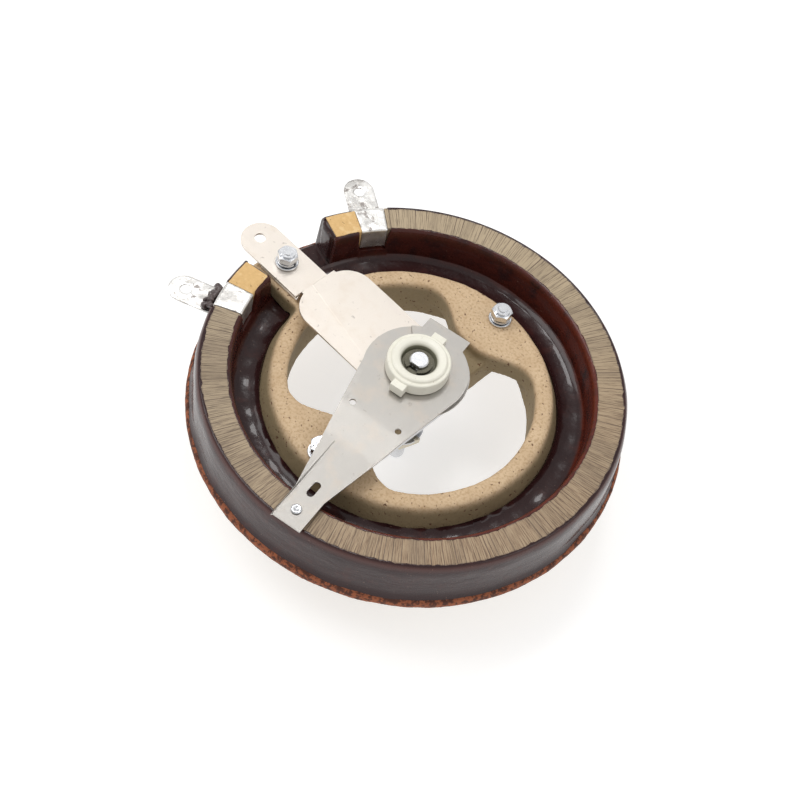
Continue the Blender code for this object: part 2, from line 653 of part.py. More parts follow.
def retaining_ring(z):
    """Open ring that sits in a shaft groove."""
    section = box_section(SHAFT_R - GAP, SHAFT_R + CLIP_RIM, z, z + CLIP_T)
    return swept(even_stations(25.0, 335.0, section, SMALL_STEPS))


def insulating_hub():
    """Ceramic button with a ridged rim, a recess, two ears and a spigot through the wiper."""
    top = TRACK_Z + HUB_TOP
    base = HUB_BASE_Z
    spigot = TRACK_Z + HUB_SPIGOT_END
    recess = top - HUB_RECESS_DEPTH
    button = turned([
        (0.0, spigot), (HUB_SPIGOT_R, spigot), (HUB_SPIGOT_R, base), (HUB_R, base),
        (HUB_R, top - 1.6), (HUB_R - HUB_EDGE, top - 0.5), (HUB_R - 1.8, top - 0.4),
        (HUB_R - 2.5, top), (HUB_RECESS_R + 0.8, top), (HUB_RECESS_R, top - 0.8),
        (HUB_RECESS_R, recess), (0.0, recess),
    ], 48)
    ear_z = top - EAR_DROP
    for turn in (0.0, 180.0):
        ear_plan = rectangle(HUB_R - 1.0, EAR_REACH, -EAR_HALF_W, EAR_HALF_W)
        join(button, moved(prism(ear_plan, ear_z - EAR_T, ear_z), turn=turn))
    return cut(button, prism(flatted_circle(HUB_BORE_R, HUB_FLAT), spigot - 1.0, recess + 1.0))


def tab_corner(head_r, tab_half_w):
    """Direction of the corner where the square tab meets the round head."""
    return 180.0 - degrees(atan2(tab_half_w, sqrt(head_r ** 2 - tab_half_w ** 2)))


def leaf_outline(head_r, tab_u, tab_half_w):
    """Round head with a square tab behind it."""
    corner = tab_corner(head_r, tab_half_w)
    return [*arc((0.0, 0.0), head_r, -corner, corner, 44), (-tab_u, tab_half_w), (-tab_u, -tab_half_w)]


def arm_outline(tip_u):
    """Round head with a notch in one side, a square tab behind and a tapering blade ahead."""
    corner = tab_corner(ARM_HEAD_R, ARM_TAB_HALF_W)
    shoulder = 76.0
    right = [*arc((0.0, 0.0), ARM_HEAD_R, -corner, -ARM_NOTCH_TO, 3),
             *arc((0.0, 0.0), ARM_NOTCH_R, -ARM_NOTCH_TO, -ARM_NOTCH_FROM, 10),
             *arc((0.0, 0.0), ARM_HEAD_R, -ARM_NOTCH_FROM, -shoulder, 6)]
    blade = [(ARM_NECK_U, -ARM_TIP_HALF_W), (tip_u, -ARM_TIP_HALF_W),
             (tip_u, ARM_TIP_HALF_W), (ARM_NECK_U, ARM_TIP_HALF_W)]
    left = arc((0.0, 0.0), ARM_HEAD_R, shoulder, corner, 22)
    tab = [(-ARM_TAB_U, ARM_TAB_HALF_W), (-ARM_TAB_U, -ARM_TAB_HALF_W)]
    return [*right, *blade, *left, *tab]


def slot_outline(u, length, half_w):
    reach = length / 2 - half_w
    return [*arc((u + reach, 0.0), half_w, -90.0, 90.0, 8),
            *arc((u - reach, 0.0), half_w, 90.0, 270.0, 8)]


def brush_centre():
    return TRACK_R_OUT - TRACK_WIDTH / 2 + 1.0


def wiper_arm():
    """Spring-steel arm: flat head under the button, bent down to the track."""
    tip_u = TRACK_R_OUT + ARM_OVERHANG
    holes = [circle(SPIGOT_HOLE_R, steps=40),
             slot_outline(ARM_SLOT_U, ARM_SLOT_L, ARM_SLOT_HALF_W),
             circle(ARM_HOLE_R, (ARM_HOLE_U, ARM_HOLE_V), 12),
             circle(ARM_HOLE_R, (ARM_HOLE_U, -ARM_HOLE_V), 12),
             circle(RIVET_SHANK_R + GAP, (brush_centre(), 0.0), 16)]
    head = ARM_HEAD_Z
    tip = TRACK_Z + ARM_TIP_Z
    path = [(-ARM_TAB_U - 1.0, head), (ARM_BEND_START, head), (ARM_BEND_END, tip),
            (tip_u + 1.0, tip)]
    return bent_sheet(path, ARM_T, arm_outline(tip_u), holes)


def spring_leaf(order):
    """Thin leaf under the arm's head. The lowest, order 0, slides on the collector plate."""
    shorter = 0.8 - 0.4 * order
    outline = leaf_outline(LEAF_R - 0.4 * order, ARM_TAB_U - shorter, ARM_TAB_HALF_W - shorter)
    low = LEAF_Z + order * (LEAF_T + GAP)
    return prism(outline, low, low + LEAF_T, [circle(SPIGOT_HOLE_R, steps=40)])


def contact_brush():
    """Contact shoe under the arm's tip, on the track."""
    top = TRACK_Z + ARM_TIP_Z - GAP
    u = brush_centre()
    outline = rectangle(u - BRUSH_L / 2, u + BRUSH_L / 2, -BRUSH_HALF_W, BRUSH_HALF_W)
    return prism(outline, top - BRUSH_T, top, [circle(RIVET_SHANK_R + GAP, (u, 0.0), 16)])


def brush_rivet():
    """Rivet that holds the shoe to the arm."""
    head_z = TRACK_Z + ARM_TIP_Z + ARM_T + GAP
    low = TRACK_Z + ARM_TIP_Z - GAP - BRUSH_T + 0.2
    rivet = turned([(0.0, low), (RIVET_SHANK_R, low), (RIVET_SHANK_R, head_z), (RIVET_HEAD_R, head_z),
                    (RIVET_HEAD_R * 0.75, head_z + RIVET_HEAD_T * 0.7),
                    (0.0, head_z + RIVET_HEAD_T)], 20)
    return moved(rivet, brush_centre())


# ---------------------------------------------------------------- assembly
def build():
    for old in list(bpy.data.objects):
        bpy.data.objects.remove(old)

    base_clay = make_material("base_ceramic", (0.62, 0.45, 0.27), 0.75)
    core_clay = make_material("core_ceramic", (0.80, 0.60, 0.33), 0.8)
    wire = make_material("resistance_wire", (0.42, 0.38, 0.31), 0.45, 0.6)
    enamel = make_material("brown_enamel", (0.07, 0.03, 0.025), 0.15)
    tinned = make_material("tinned_strip", (0.78, 0.76, 0.72), 0.35, 0.9)
    satin = make_material("satin_steel", (0.66, 0.63, 0.59), 0.38, 0.9)
    zinc = make_material("zinc_plate", (0.72, 0.72, 0.72), 0.3, 1.0)
    brass = make_material("nickelled_brass", (0.70, 0.66, 0.55), 0.3, 1.0)
    white_clay = make_material("hub_ceramic", (0.86, 0.86, 0.76), 0.4)
    alloy = make_material("contact_alloy", (0.45, 0.42, 0.38), 0.4, 0.8)

    finish(ceramic_base(), "ceramic_base", base_clay)
    finish(winding_core(), "winding_core", core_clay)
    finish(resistance_winding(), "resistance_winding", wire)
    finish(enamel_coat(), "enamel_coat", enamel)
    finish(end_terminal(CORE_START + BARE_ARC), "end_terminal_a", tinned)
    finish(end_terminal(CORE_END - BARE_ARC - STRAP_ARC), "end_terminal_b", tinned)
    finish(centre_terminal(), "centre_terminal", satin)
    finish(collector_plate(), "collector_plate", satin)
    finish(front_bracket(), "front_bracket", zinc)
    finish(panel_bushing(), "panel_bushing", brass)
    washer_z = -PANEL_SPACE - WASHER_T
    nut_z = washer_z - GAP - PANEL_NUT_T
    thread_r = BUSHING_R + GAP
    finish(split_washer(PANEL_WASHER_R, thread_r, washer_z, washer_z + WASHER_T), "panel_washer", zinc)
    finish(hex_nut(PANEL_NUT_HALF_FLATS, thread_r, nut_z, nut_z + PANEL_NUT_T), "panel_nut", brass)
    fastener_set("bridge_a", 0.0, BOLT_PCR, BRACKET_RISE - GAP, HUB_Z, zinc)
    fastener_set("bridge_b", 0.0, -BOLT_PCR, BRACKET_RISE - GAP, HUB_Z, zinc)
    lug_top = CENTRE_LUG_Z + CENTRE_LUG_T
    fastener_set("terminal", CENTRE_BOLT_X, 0.0, BASE_Z - GAP, lug_top, zinc)

    rotor = bpy.data.objects.new("rotor", None)
    bpy.context.scene.collection.objects.link(rotor)
    rotor.rotation_euler.z = radians(WIPER_AT)
    finish(shaft(), "shaft", zinc, rotor)
    thrust_z = clip_z() + CLIP_T + GAP
    finish(ring_prism(SHAFT_R + 2.2, HUB_BORE_R, thrust_z, thrust_z + CLIP_T), "thrust_washer",
           brass, rotor)
    finish(retaining_ring(clip_z()), "bushing_clip", zinc, rotor)
    finish(insulating_hub(), "insulating_hub", white_clay, rotor)
    seat_z = retaining_ring_z() - GAP - CLIP_T
    finish(ring_prism(SHAFT_R + HUB_WASHER_RIM, HUB_BORE_R, seat_z, seat_z + CLIP_T), "hub_washer",
           zinc, rotor)
    finish(retaining_ring(retaining_ring_z()), "hub_retaining_ring", zinc, rotor)
    finish(wiper_arm(), "wiper_arm", satin, rotor)
    finish(spring_leaf(0), "contact_leaf", satin, rotor)
    finish(spring_leaf(1), "backing_leaf", satin, rotor)
    finish(contact_brush(), "contact_brush", alloy, rotor)
    finish(brush_rivet(), "brush_rivet", zinc, rotor)


build()
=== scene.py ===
# %% [markdown]
# # A disc rheostat, finished
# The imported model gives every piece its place. This script loads it as a fixed frame and then
# builds the visible surfaces round it: glaze, ground wire, tinned strip, rolled sheet and ceramic.
# Sizes are in millimetres until a mesh is finished, and every mesh keeps its place in its vertices.

import json
from math import acos, atan2, cos, degrees, radians, sin, sqrt, tau
from random import Random

import bmesh
import bpy
from mathutils import Matrix, Vector, noise
from mathutils.geometry import tessellate_polygon

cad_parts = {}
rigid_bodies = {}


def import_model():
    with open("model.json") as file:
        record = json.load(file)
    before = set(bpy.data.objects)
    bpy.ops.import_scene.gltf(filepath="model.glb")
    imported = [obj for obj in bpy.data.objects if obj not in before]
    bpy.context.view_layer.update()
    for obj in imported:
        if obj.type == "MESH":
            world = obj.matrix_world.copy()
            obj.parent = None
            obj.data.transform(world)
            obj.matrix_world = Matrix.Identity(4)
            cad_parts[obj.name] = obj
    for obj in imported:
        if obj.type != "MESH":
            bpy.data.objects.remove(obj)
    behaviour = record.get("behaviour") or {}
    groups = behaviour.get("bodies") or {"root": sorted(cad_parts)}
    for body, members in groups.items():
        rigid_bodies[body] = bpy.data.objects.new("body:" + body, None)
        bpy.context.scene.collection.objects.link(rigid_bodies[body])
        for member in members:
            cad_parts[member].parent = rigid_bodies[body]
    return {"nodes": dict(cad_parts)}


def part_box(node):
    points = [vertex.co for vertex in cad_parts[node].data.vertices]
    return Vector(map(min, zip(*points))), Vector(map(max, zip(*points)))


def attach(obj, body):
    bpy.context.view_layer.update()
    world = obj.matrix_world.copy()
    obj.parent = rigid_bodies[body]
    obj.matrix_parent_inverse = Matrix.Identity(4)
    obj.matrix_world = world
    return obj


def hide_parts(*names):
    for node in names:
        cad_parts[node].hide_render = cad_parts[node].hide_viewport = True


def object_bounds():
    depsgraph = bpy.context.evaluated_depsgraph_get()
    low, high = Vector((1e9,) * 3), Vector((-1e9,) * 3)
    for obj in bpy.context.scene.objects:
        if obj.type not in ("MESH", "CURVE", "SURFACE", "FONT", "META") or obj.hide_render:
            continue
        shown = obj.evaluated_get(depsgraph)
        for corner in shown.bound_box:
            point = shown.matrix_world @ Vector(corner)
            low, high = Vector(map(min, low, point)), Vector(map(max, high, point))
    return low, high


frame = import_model()
cad_box = [list(corner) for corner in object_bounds()]
MM = 0.001
scene_objects = bpy.context.scene.collection.objects
print("CAD box", cad_box)

# %% [markdown]
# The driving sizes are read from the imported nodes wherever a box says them. The few that no box
# can say, such as a radius inside a node, are written once here.

# %% Sizes


def low_z(node):
    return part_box(node)[0].z / MM


def top_z(node):
    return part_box(node)[1].z / MM


def middle(node):
    """Centre of a node's box in X and Y."""
    low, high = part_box(node)
    return (low.x + high.x) / 2 / MM, (low.y + high.y) / 2 / MM


TRACK_Z = top_z("resistance_winding")
BASE_Z = low_z("ceramic_base")
HUB_Z = low_z("bridge_a_plain_washer") - 0.3
DISC_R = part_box("ceramic_base")[1].y / MM
FLANGE_Z = BASE_Z + 5.0
FLOOR_Z = FLANGE_Z + 5.5
BRIDGE_Z = TRACK_Z - 13.0
BOSS_Z = low_z("collector_plate") - 0.3
POST_Z = top_z("collector_plate") - 1.3
TRACK_IN, TRACK_OUT = 76.0, 88.0
HUB_IN, HUB_OUT, HUB_FOOT = 51.6, 59.0, 62.8
CORE_FROM, CORE_TO = 190.5, 522.0      # directions of the core's two ends, in degrees
STRAP_A, STRAP_B = 199.3, 504.6        # where each end strap starts
STRAP_ARC = 8.6
BOLT_HOLE_R = 2.8
NUT_HALF_FLATS = 4.0
FLAT_SHEET = 14.0      # degrees: bends shade smoothly, and every edge of a flat face stays crisp
HEX_SHARP = 25.0
ARM_AT = degrees(atan2(*reversed(middle("contact_brush"))))
BOLT_XY = {label: middle(f"{label}_hex_nut") for label in ("bridge_a", "bridge_b", "terminal")}
print(f"track at z {TRACK_Z:.1f} mm, arm at {ARM_AT:.1f} degrees")

# %% [markdown]
# ## Shape helpers
# Most pieces are one of three things: an outline turned or swept round the shaft, a flat outline
# raised to a thickness, or a lump fused from simple solids. Each helper returns a plain mesh.

# %% Outlines


def arc(cx, cy, radius, start, end, steps):
    """Points on an arc, both ends included, angles in degrees."""
    turn = radians(end - start) / steps
    return [(cx + radius * cos(radians(start) + turn * i), cy + radius * sin(radians(start) + turn * i))
            for i in range(steps + 1)]


def circle(radius, cx=0.0, cy=0.0, steps=64):
    return arc(cx, cy, radius, 0.0, 360.0, steps)[:-1]


def oblong(x0, x1, y0, y1):
    return [(x0, y0), (x1, y0), (x1, y1), (x0, y1)]


def evenly(start, end, steps):
    """Evenly spaced values, both ends included."""
    return [start + (end - start) * i / steps for i in range(steps + 1)]


def rounded(outline, radius, steps=4):
    """Each corner of a closed outline is replaced by a small curve of about the given radius."""
    made = []
    count = len(outline)
    for i, corner in enumerate(outline):
        here = Vector(corner)
        before = Vector(outline[i - 1]) - here
        after = Vector(outline[(i + 1) % count]) - here
        reach = min(radius, 0.45 * before.length, 0.45 * after.length)
        start = here + before.normalized() * reach
        end = here + after.normalized() * reach
        for k in range(steps + 1):
            t = k / steps
            made.append(tuple(start.lerp(here, t).lerp(here.lerp(end, t), t)))
    return made


def wave(angle, size, seed, spread=30.0):
    """Smooth random value round the shaft that closes on itself, between about -1 and 1."""
    turn = radians(angle)
    return noise.noise(Vector((spread * cos(turn), spread * sin(turn), seed))) * size


# %% Solids


def to_mesh(bm, name):
    bmesh.ops.recalc_face_normals(bm, faces=bm.faces)
    mesh = bpy.data.meshes.new(name)
    bm.to_mesh(mesh)
    bm.free()
    return mesh


def swept(stations):
    """A closed solid through (direction, outline) stations, with outlines as (radius, z)."""
    bm = bmesh.new()
    rows = []
    for direction, outline in stations:
        turn = radians(direction)
        rows.append([bm.verts.new((r * cos(turn), r * sin(turn), z)) for r, z in outline])
    closed = abs(stations[-1][0] - stations[0][0]) > 359.99
    if closed:
        bmesh.ops.delete(bm, geom=rows.pop(), context="VERTS")
        rows.append(rows[0])
    for row, following in zip(rows, rows[1:]):
        for i in range(len(row)):
            j = (i + 1) % len(row)
            bm.faces.new((row[i], row[j], following[j], following[i]))
    if not closed:
        for end in (rows[0], rows[-1]):
            bmesh.ops.triangulate(bm, faces=[bm.faces.new(end)])
    bmesh.ops.remove_doubles(bm, verts=bm.verts, dist=0.001)
    loose = [edge for edge in bm.edges if not edge.link_faces]
    bmesh.ops.delete(bm, geom=loose, context="EDGES")
    return to_mesh(bm, "swept")


def turned(outline, steps):
    """An outline of (radius, z) points turned round the Z axis."""
    return swept([(360.0 / steps * i, outline) for i in range(steps + 1)])


def rod(radius, z0, z1, steps):
    return turned(oblong(0.0, radius, z0, z1), steps)


def prism(outline, z0, z1, holes=()):
    loops = [outline, *holes]
    flat = [point for loop in loops for point in loop]
    bm = bmesh.new()
    low = [bm.verts.new((x, y, z0)) for x, y in flat]
    high = [bm.verts.new((x, y, z1)) for x, y in flat]
    for a, b, c in tessellate_polygon([[Vector((x, y, 0.0)) for x, y in loop] for loop in loops]):
        bm.faces.new((low[a], low[b], low[c]))
        bm.faces.new((high[c], high[b], high[a]))
    first = 0
    for loop in loops:
        for i in range(len(loop)):
            a = first + i
            b = first + (i + 1) % len(loop)
            bm.faces.new((low[a], low[b], high[b], high[a]))
        first += len(loop)
    return to_mesh(bm, "prism")


def box(x0, x1, y0, y1, z0, z1):
    return prism(oblong(x0, x1, y0, y1), z0, z1)


def placed(mesh, x=0.0, y=0.0, z=0.0, turn=0.0):
    mesh.transform(Matrix.Translation((x, y, z)) @ Matrix.Rotation(radians(turn), 4, "Z"))
    return mesh


# %% Modifiers, applied


def evaluated(host):
    """The plain mesh that an object's modifiers make. The object is removed."""
    bpy.context.view_layer.update()
    made = bpy.data.meshes.new_from_object(host.evaluated_get(bpy.context.evaluated_depsgraph_get()))
    bpy.data.objects.remove(host)
    return made


def with_modifiers(mesh, *recipes):
    """Runs modifiers on a mesh and returns the plain result. A recipe is (type, settings)."""
    host = bpy.data.objects.new("host", mesh)
    scene_objects.link(host)
    for kind, settings in recipes:
        modifier = host.modifiers.new(kind.lower(), kind)
        for key, value in settings.items():
            setattr(modifier, key, value)
    return evaluated(host)


def combined(mesh, other, operation):
    tool = bpy.data.objects.new("tool", other)
    scene_objects.link(tool)
    made = with_modifiers(mesh, ("BOOLEAN", {"operation": operation, "object": tool, "solver": "EXACT"}))
    bpy.data.objects.remove(tool)
    return made


def cut(mesh, *cutters):
    for cutter in cutters:
        mesh = combined(mesh, cutter, "DIFFERENCE")
    return mesh


def bevelled(mesh, width, segments=2):
    """Takes the edge off every corner."""
    return with_modifiers(mesh, ("BEVEL", {"width": width, "segments": segments, "limit_method": "ANGLE",
                                           "angle_limit": radians(38.0), "use_clamp_overlap": True}))


def fused(shapes, voxel, smoothing):
    """Overlapping solids melted into one skin, as clay or solder joins, then softened."""
    bm = bmesh.new()
    for shape in shapes:
        bm.from_mesh(shape)
    return with_modifiers(to_mesh(bm, "lump"), ("REMESH", {"mode": "VOXEL", "voxel_size": voxel}),
                          ("SMOOTH", {"factor": 0.5, "iterations": smoothing}))


def roughened(mesh, layers):
    """Moves each point along its normal by layers of (grain size in mm, height in mm)."""
    bm = bmesh.new()
    bm.from_mesh(mesh)
    bm.normal_update()
    for vertex in bm.verts:
        lift = sum(noise.noise(vertex.co / grain + Vector((grain, 0.0, 7.0))) * height
                   for grain, height in layers)
        vertex.co += vertex.normal * lift
    return to_mesh(bm, "rough")


# %% [markdown]
# ## Materials
# A surface is told from another by how its colour, gloss and grain change over it, so each finish
# is a small sum of noises on object coordinates. Writing those sums as node links is long and
# hard to read. The class below lets a socket be added and multiplied like a number.

# %% Sums on sockets


class Field:
    """A shader socket that can be used in sums. Each sum adds its Math node."""

    def __init__(self, tree, socket):
        self.tree = tree
        self.socket = socket

    def node(self, kind, settings, values, output=0):
        """Adds any node: its settings first, then the values or links of its sockets."""
        made = self.tree.nodes.new(kind)
        for key, setting in settings.items():
            setattr(made, key, setting)
        for key, value in (values.items() if isinstance(values, dict) else enumerate(values)):
            if isinstance(value, Field):
                self.tree.links.new(value.socket, made.inputs[key])
            else:
                made.inputs[key].default_value = value
        return Field(self.tree, made.outputs[output])

    def maths(self, operation, *values):
        return self.node("ShaderNodeMath", {"operation": operation}, values)

    def __add__(self, other):
        return self.maths("ADD", self, other)

    def __sub__(self, other):
        return self.maths("SUBTRACT", self, other)

    def __rsub__(self, other):
        return self.maths("SUBTRACT", other, self)

    def __mul__(self, other):
        return self.maths("MULTIPLY", self, other)

    def __truediv__(self, other):
        return self.maths("DIVIDE", self, other)

    __radd__ = __add__
    __rmul__ = __mul__

    def above(self, level, soft=0.05):
        """0 well below a level, 1 well above it."""
        return self.node("ShaderNodeMapRange", {"interpolation_type": "SMOOTHSTEP"},
                         {"Value": self, "From Min": level - soft, "From Max": level + soft})

    def grain(self, size, detail=3.0, roughness=0.55, seed=0.0, stretch=(1.0, 1.0, 1.0)):
        """Noise whose patches are about size millimetres, on a vector field."""
        scaled = self.node("ShaderNodeMapping", {}, {"Vector": self, "Scale": stretch,
                                                     "Location": (seed, seed * 0.7, seed * 1.3)})
        return self.node("ShaderNodeTexNoise", {}, {"Vector": scaled, "Scale": 1.0 / (size * MM),
                                                    "Detail": detail, "Roughness": roughness})

    def toward(self, colour, other):
        """Mixes two colours by this field."""
        fixed = [(*c, 1.0) if isinstance(c, tuple) else c for c in (colour, other)]
        return self.node("ShaderNodeMix", {"data_type": "RGBA"}, {0: self, 6: fixed[0], 7: fixed[1]}, 2)

    def marked(self, level, soft, share, colour, other):
        """Where this field is above a level, a share of another colour covers the first."""
        return (self.above(level, soft) * share).toward(colour, other)


def from_shaft(x, y):
    """Distance from the shaft's axis, in metres."""
    square = x * x + y * y
    return square.maths("POWER", square, 0.5)


def make_finish(name, recipe, **constants):
    """A Principled material. The recipe takes (place, axes) and returns its varying sockets."""
    material = bpy.data.materials.new(name)
    material.use_nodes = True
    tree = material.node_tree
    shader = tree.nodes["Principled BSDF"]
    for socket, value in constants.items():
        shader.inputs[socket.replace("_", " ")].default_value = value
    coordinates = tree.nodes.new("ShaderNodeTexCoord")
    place = Field(tree, coordinates.outputs["Object"])
    split = tree.nodes.new("ShaderNodeSeparateXYZ")
    tree.links.new(coordinates.outputs["Object"], split.inputs[0])
    axes = [Field(tree, socket) for socket in split.outputs]
    made = recipe(place, axes)
    height, depth = made.pop("bump", (None, 0.0))
    if height is not None:
        bump = place.node("ShaderNodeBump", {}, {"Height": height, "Strength": 1.0, "Distance": depth * MM})
        tree.links.new(bump.socket, shader.inputs["Normal"])
    for socket, field in made.items():
        tree.links.new(field.socket, shader.inputs[socket])
    print("finish", name, len(tree.nodes), "nodes")
    return material


# %% [markdown]
# The base is pressed and fired clay. Its top is cream with brown iron spots, its lower walls carry
# painted shade, and the rim of the disc is rough and rust coloured, where glaze ran thin and burnt.
# Distance from the shaft and height say which of these a point belongs to.

# %% Fired clay


def base_clay(place, axes):
    x, y, z = axes
    out = from_shaft(x, y) / MM
    height = z / MM
    mottle = place.grain(9.0, 4.0)
    fine = place.grain(1.1, 3.0, seed=3.0)
    spots = place.grain(1.4, 2.0, 0.45, seed=9.0)
    cream = mottle.toward((0.50, 0.345, 0.20), (0.70, 0.53, 0.345))
    cream = fine.marked(0.56, 0.12, 0.5, cream, (0.37, 0.23, 0.11))
    # Painted shade: everything more than about 2 mm below the hub's top is darkened toward olive brown,
    # standing for the shade on the walls.
    low = 1.0 - height.above(HUB_Z - 2.2, 2.0)
    cream = (low * 0.85).toward(cream, (0.225, 0.175, 0.095))
    cream = spots.marked(0.68, 0.025, 0.85, cream, (0.11, 0.045, 0.02))
    rust = fine.toward((0.23, 0.06, 0.025), (0.36, 0.12, 0.05))
    rust = place.grain(2.3, 4.0, 0.7, seed=21.0).marked(0.50, 0.06, 0.85, rust, (0.04, 0.014, 0.01))
    rim = out.above(TRACK_OUT + 1.0, 1.5) * (1.0 - height.above(FLANGE_Z + 2.0, 1.0))
    under = (1.0 - height.above(BASE_Z + 0.6, 0.4)) * out.above(HUB_IN, 1.0)
    colour = rim.toward(cream, rust)
    colour = (under * 0.55).toward(colour, (0.55, 0.42, 0.27))
    return {"Base Color": colour, "Roughness": 0.62 + 0.25 * fine,
            "bump": (fine * 0.6 + spots.above(0.685, 0.05) * -0.5 + place.grain(0.45, 2.0) * 0.4, 0.22)}


def core_clay(place, axes):
    fine = place.grain(1.3, 4.0)
    colour = fine.toward((0.58, 0.36, 0.14), (0.80, 0.54, 0.255))
    colour = place.grain(3.5, 2.0, seed=5.0).marked(0.6, 0.06, 0.5, colour, (0.84, 0.62, 0.33))
    colour = place.grain(1.6, 2.0, seed=8.0).marked(0.70, 0.03, 0.7, colour, (0.25, 0.13, 0.05))
    return {"Base Color": colour, "Roughness": 0.7 + 0.2 * fine, "bump": (fine + place.grain(0.4, 2.0), 0.16)}


def hub_clay(place, axes):
    x, y, z = axes
    soft = place.grain(4.0, 3.0)
    fine = place.grain(0.5, 2.0, seed=2.0)
    out = from_shaft(x, y) / MM
    colour = soft.toward((0.75, 0.725, 0.615), (0.87, 0.845, 0.745))
    # Painted shade: the recess inside the button's rim and its walls are darkened toward olive.
    inside = (1.0 - out.above(8.3, 0.5)) * (1.0 - (z / MM).above(top_z("insulating_hub") - 1.2, 0.9))
    colour = (inside * 0.85).toward(colour, (0.17, 0.165, 0.09))
    colour = place.grain(0.9, 2.0, seed=6.0).marked(0.72, 0.02, 0.5, colour, (0.3, 0.24, 0.15))
    return {"Base Color": colour, "Roughness": 0.36 + 0.2 * soft, "bump": (fine, 0.05)}


base_finish = make_finish("fired_base_clay", base_clay, Specular_IOR_Level=0.35)
core_finish = make_finish("fired_core_clay", core_clay, Specular_IOR_Level=0.3)
hub_finish = make_finish("hub_steatite", hub_clay, Coat_Weight=0.15, Coat_Roughness=0.3)

# %% [markdown]
# The glaze is dark, but it is glass: where it is thin it turns maroon, and it is always wet
# looking. A clear coat gives the sharp glints, and a broad soft bump gives the runs of a coat that
# flowed in the kiln.

# %% Glaze


def brown_glaze(place, axes):
    x, y, z = axes
    runs = place.grain(14.0, 3.0, stretch=(1.0, 1.0, 2.5))
    thin = place.grain(7.0, 4.0, 0.6, seed=12.0)
    out = from_shaft(x, y) / MM
    near_track = out.above(TRACK_IN - 2.6, 1.3) * (1.0 - out.above(TRACK_IN + 0.6, 0.6))
    east = (x / MM).above(10.0, 55.0)
    colour = runs.toward((0.016, 0.006, 0.007), (0.038, 0.012, 0.011))
    maroon = near_track * (0.35 + 0.65 * east) * thin.above(0.42, 0.16)
    colour = maroon.toward(colour, (0.115, 0.018, 0.008))
    colour = thin.marked(0.62, 0.07, 0.5, colour, (0.055, 0.014, 0.011))
    # Painted highlight: a lighter grey-purple band along the rounded top shoulder of the outer wall.
    outer = out.above(TRACK_OUT + 0.4, 0.5) * (z / MM).above(TRACK_Z - 2.2, 1.6)
    colour = (outer * 0.6).toward(colour, (0.130, 0.066, 0.058))
    specks = place.grain(0.9, 2.0, seed=30.0).above(0.73, 0.02)
    colour = (specks * 0.6).toward(colour, (0.25, 0.16, 0.12))
    return {"Base Color": colour, "Roughness": 0.16 + 0.22 * thin,
            "bump": (runs + place.grain(4.0, 2.0, seed=4.0) * 0.3, 0.4)}


glaze_finish = make_finish("brown_glaze", brown_glaze, Coat_Weight=0.28, Coat_Roughness=0.05, IOR=1.38,
                           Specular_IOR_Level=0.3)

# %% [markdown]
# The track is wire ground flat. Every turn catches the light a little differently, so the colour
# changes quickly round the shaft and slowly along a turn. The direction round the shaft comes from
# an arctangent, and noise read on that direction gives one tone for each turn.

# %% Ground wire


def ground_wire(place, axes):
    x, y, z = axes
    angle = x.maths("ARCTAN2", y, x)
    out = from_shaft(x, y)
    ring = place.node("ShaderNodeCombineXYZ", {}, {0: angle * (TRACK_OUT * MM), 1: out * 0.06, 2: 0.0})
    strand = ring.grain(0.55, 2.0, 0.7)
    band = ring.grain(9.0, 3.0, seed=4.0)
    patch = place.grain(24.0, 2.0, seed=1.0)
    # Random tone, plus painted shade: the +x side of the track is made darker and redder.
    random_tone_and_side_shade = place.grain(60.0, 1.0, seed=2.0) * 0.4 + (x / MM).above(5.0, 70.0) * 0.55
    colour = random_tone_and_side_shade.toward((0.27, 0.225, 0.165), (0.27, 0.165, 0.095))
    # Painted sheen: the side of the track away from the camera is made lighter.
    far = ((y * 0.83 - x * 0.55) / MM).above(25.0, 60.0)
    colour = (far * 0.75).toward(colour, (0.50, 0.40, 0.27))
    colour = strand.marked(0.50, 0.16, 0.55, colour, (0.47, 0.37, 0.245))
    colour = ((1.0 - strand.above(0.42, 0.07)) * 0.5).toward(colour, (0.12, 0.088, 0.06))
    colour = band.marked(0.56, 0.12, 0.4, colour, (0.18, 0.135, 0.095))
    edge = (1.0 - (out / MM).above(TRACK_IN + 0.8, 0.5)) + (out / MM).above(TRACK_OUT - 0.9, 0.5)
    ragged = edge * place.grain(1.6, 3.0, seed=7.0).above(0.46, 0.1)
    colour = (ragged * 0.8).toward(colour, (0.055, 0.035, 0.035))
    return {"Base Color": colour, "Roughness": 0.42 + 0.22 * patch, "Metallic": 0.35 - ragged * 0.3,
            "bump": (strand + place.grain(0.5, 2.0) * 0.4, 0.10)}


def dark_cement(place, axes):
    fine = place.grain(0.8, 3.0)
    colour = fine.toward((0.10, 0.065, 0.045), (0.20, 0.145, 0.10))
    return {"Base Color": colour, "Roughness": 0.5 + 0.2 * fine}


wire_finish = make_finish("ground_wire", ground_wire, Specular_IOR_Level=0.4)
cement_finish = make_finish("dark_cement", dark_cement)

# %% [markdown]
# The metals share one idea: a clean metal mirrors a bright room, and handling makes it human.
# Scratches are noise stretched along one direction, and smudges change the roughness.

# %% Metals


def rolled_sheet(light, dark, along):
    def recipe(place, axes):
        lines = place.grain(0.35, 2.0, 0.6, stretch=along)
        smudge = place.grain(11.0, 4.0, 0.6, seed=3.0)
        blot = place.grain(2.6, 3.0, seed=13.0)
        colour = (lines * 0.6 + smudge * 0.5).toward(dark, light)
        colour = smudge.marked(0.60, 0.12, 0.3, colour, (0.60, 0.50, 0.40))
        colour = blot.marked(0.70, 0.04, 0.45, colour, (0.26, 0.22, 0.19))
        rough = 0.26 + smudge * 0.20 + lines * 0.10
        return {"Base Color": colour, "Roughness": rough, "bump": (lines + smudge * 1.5, 0.035)}
    return recipe


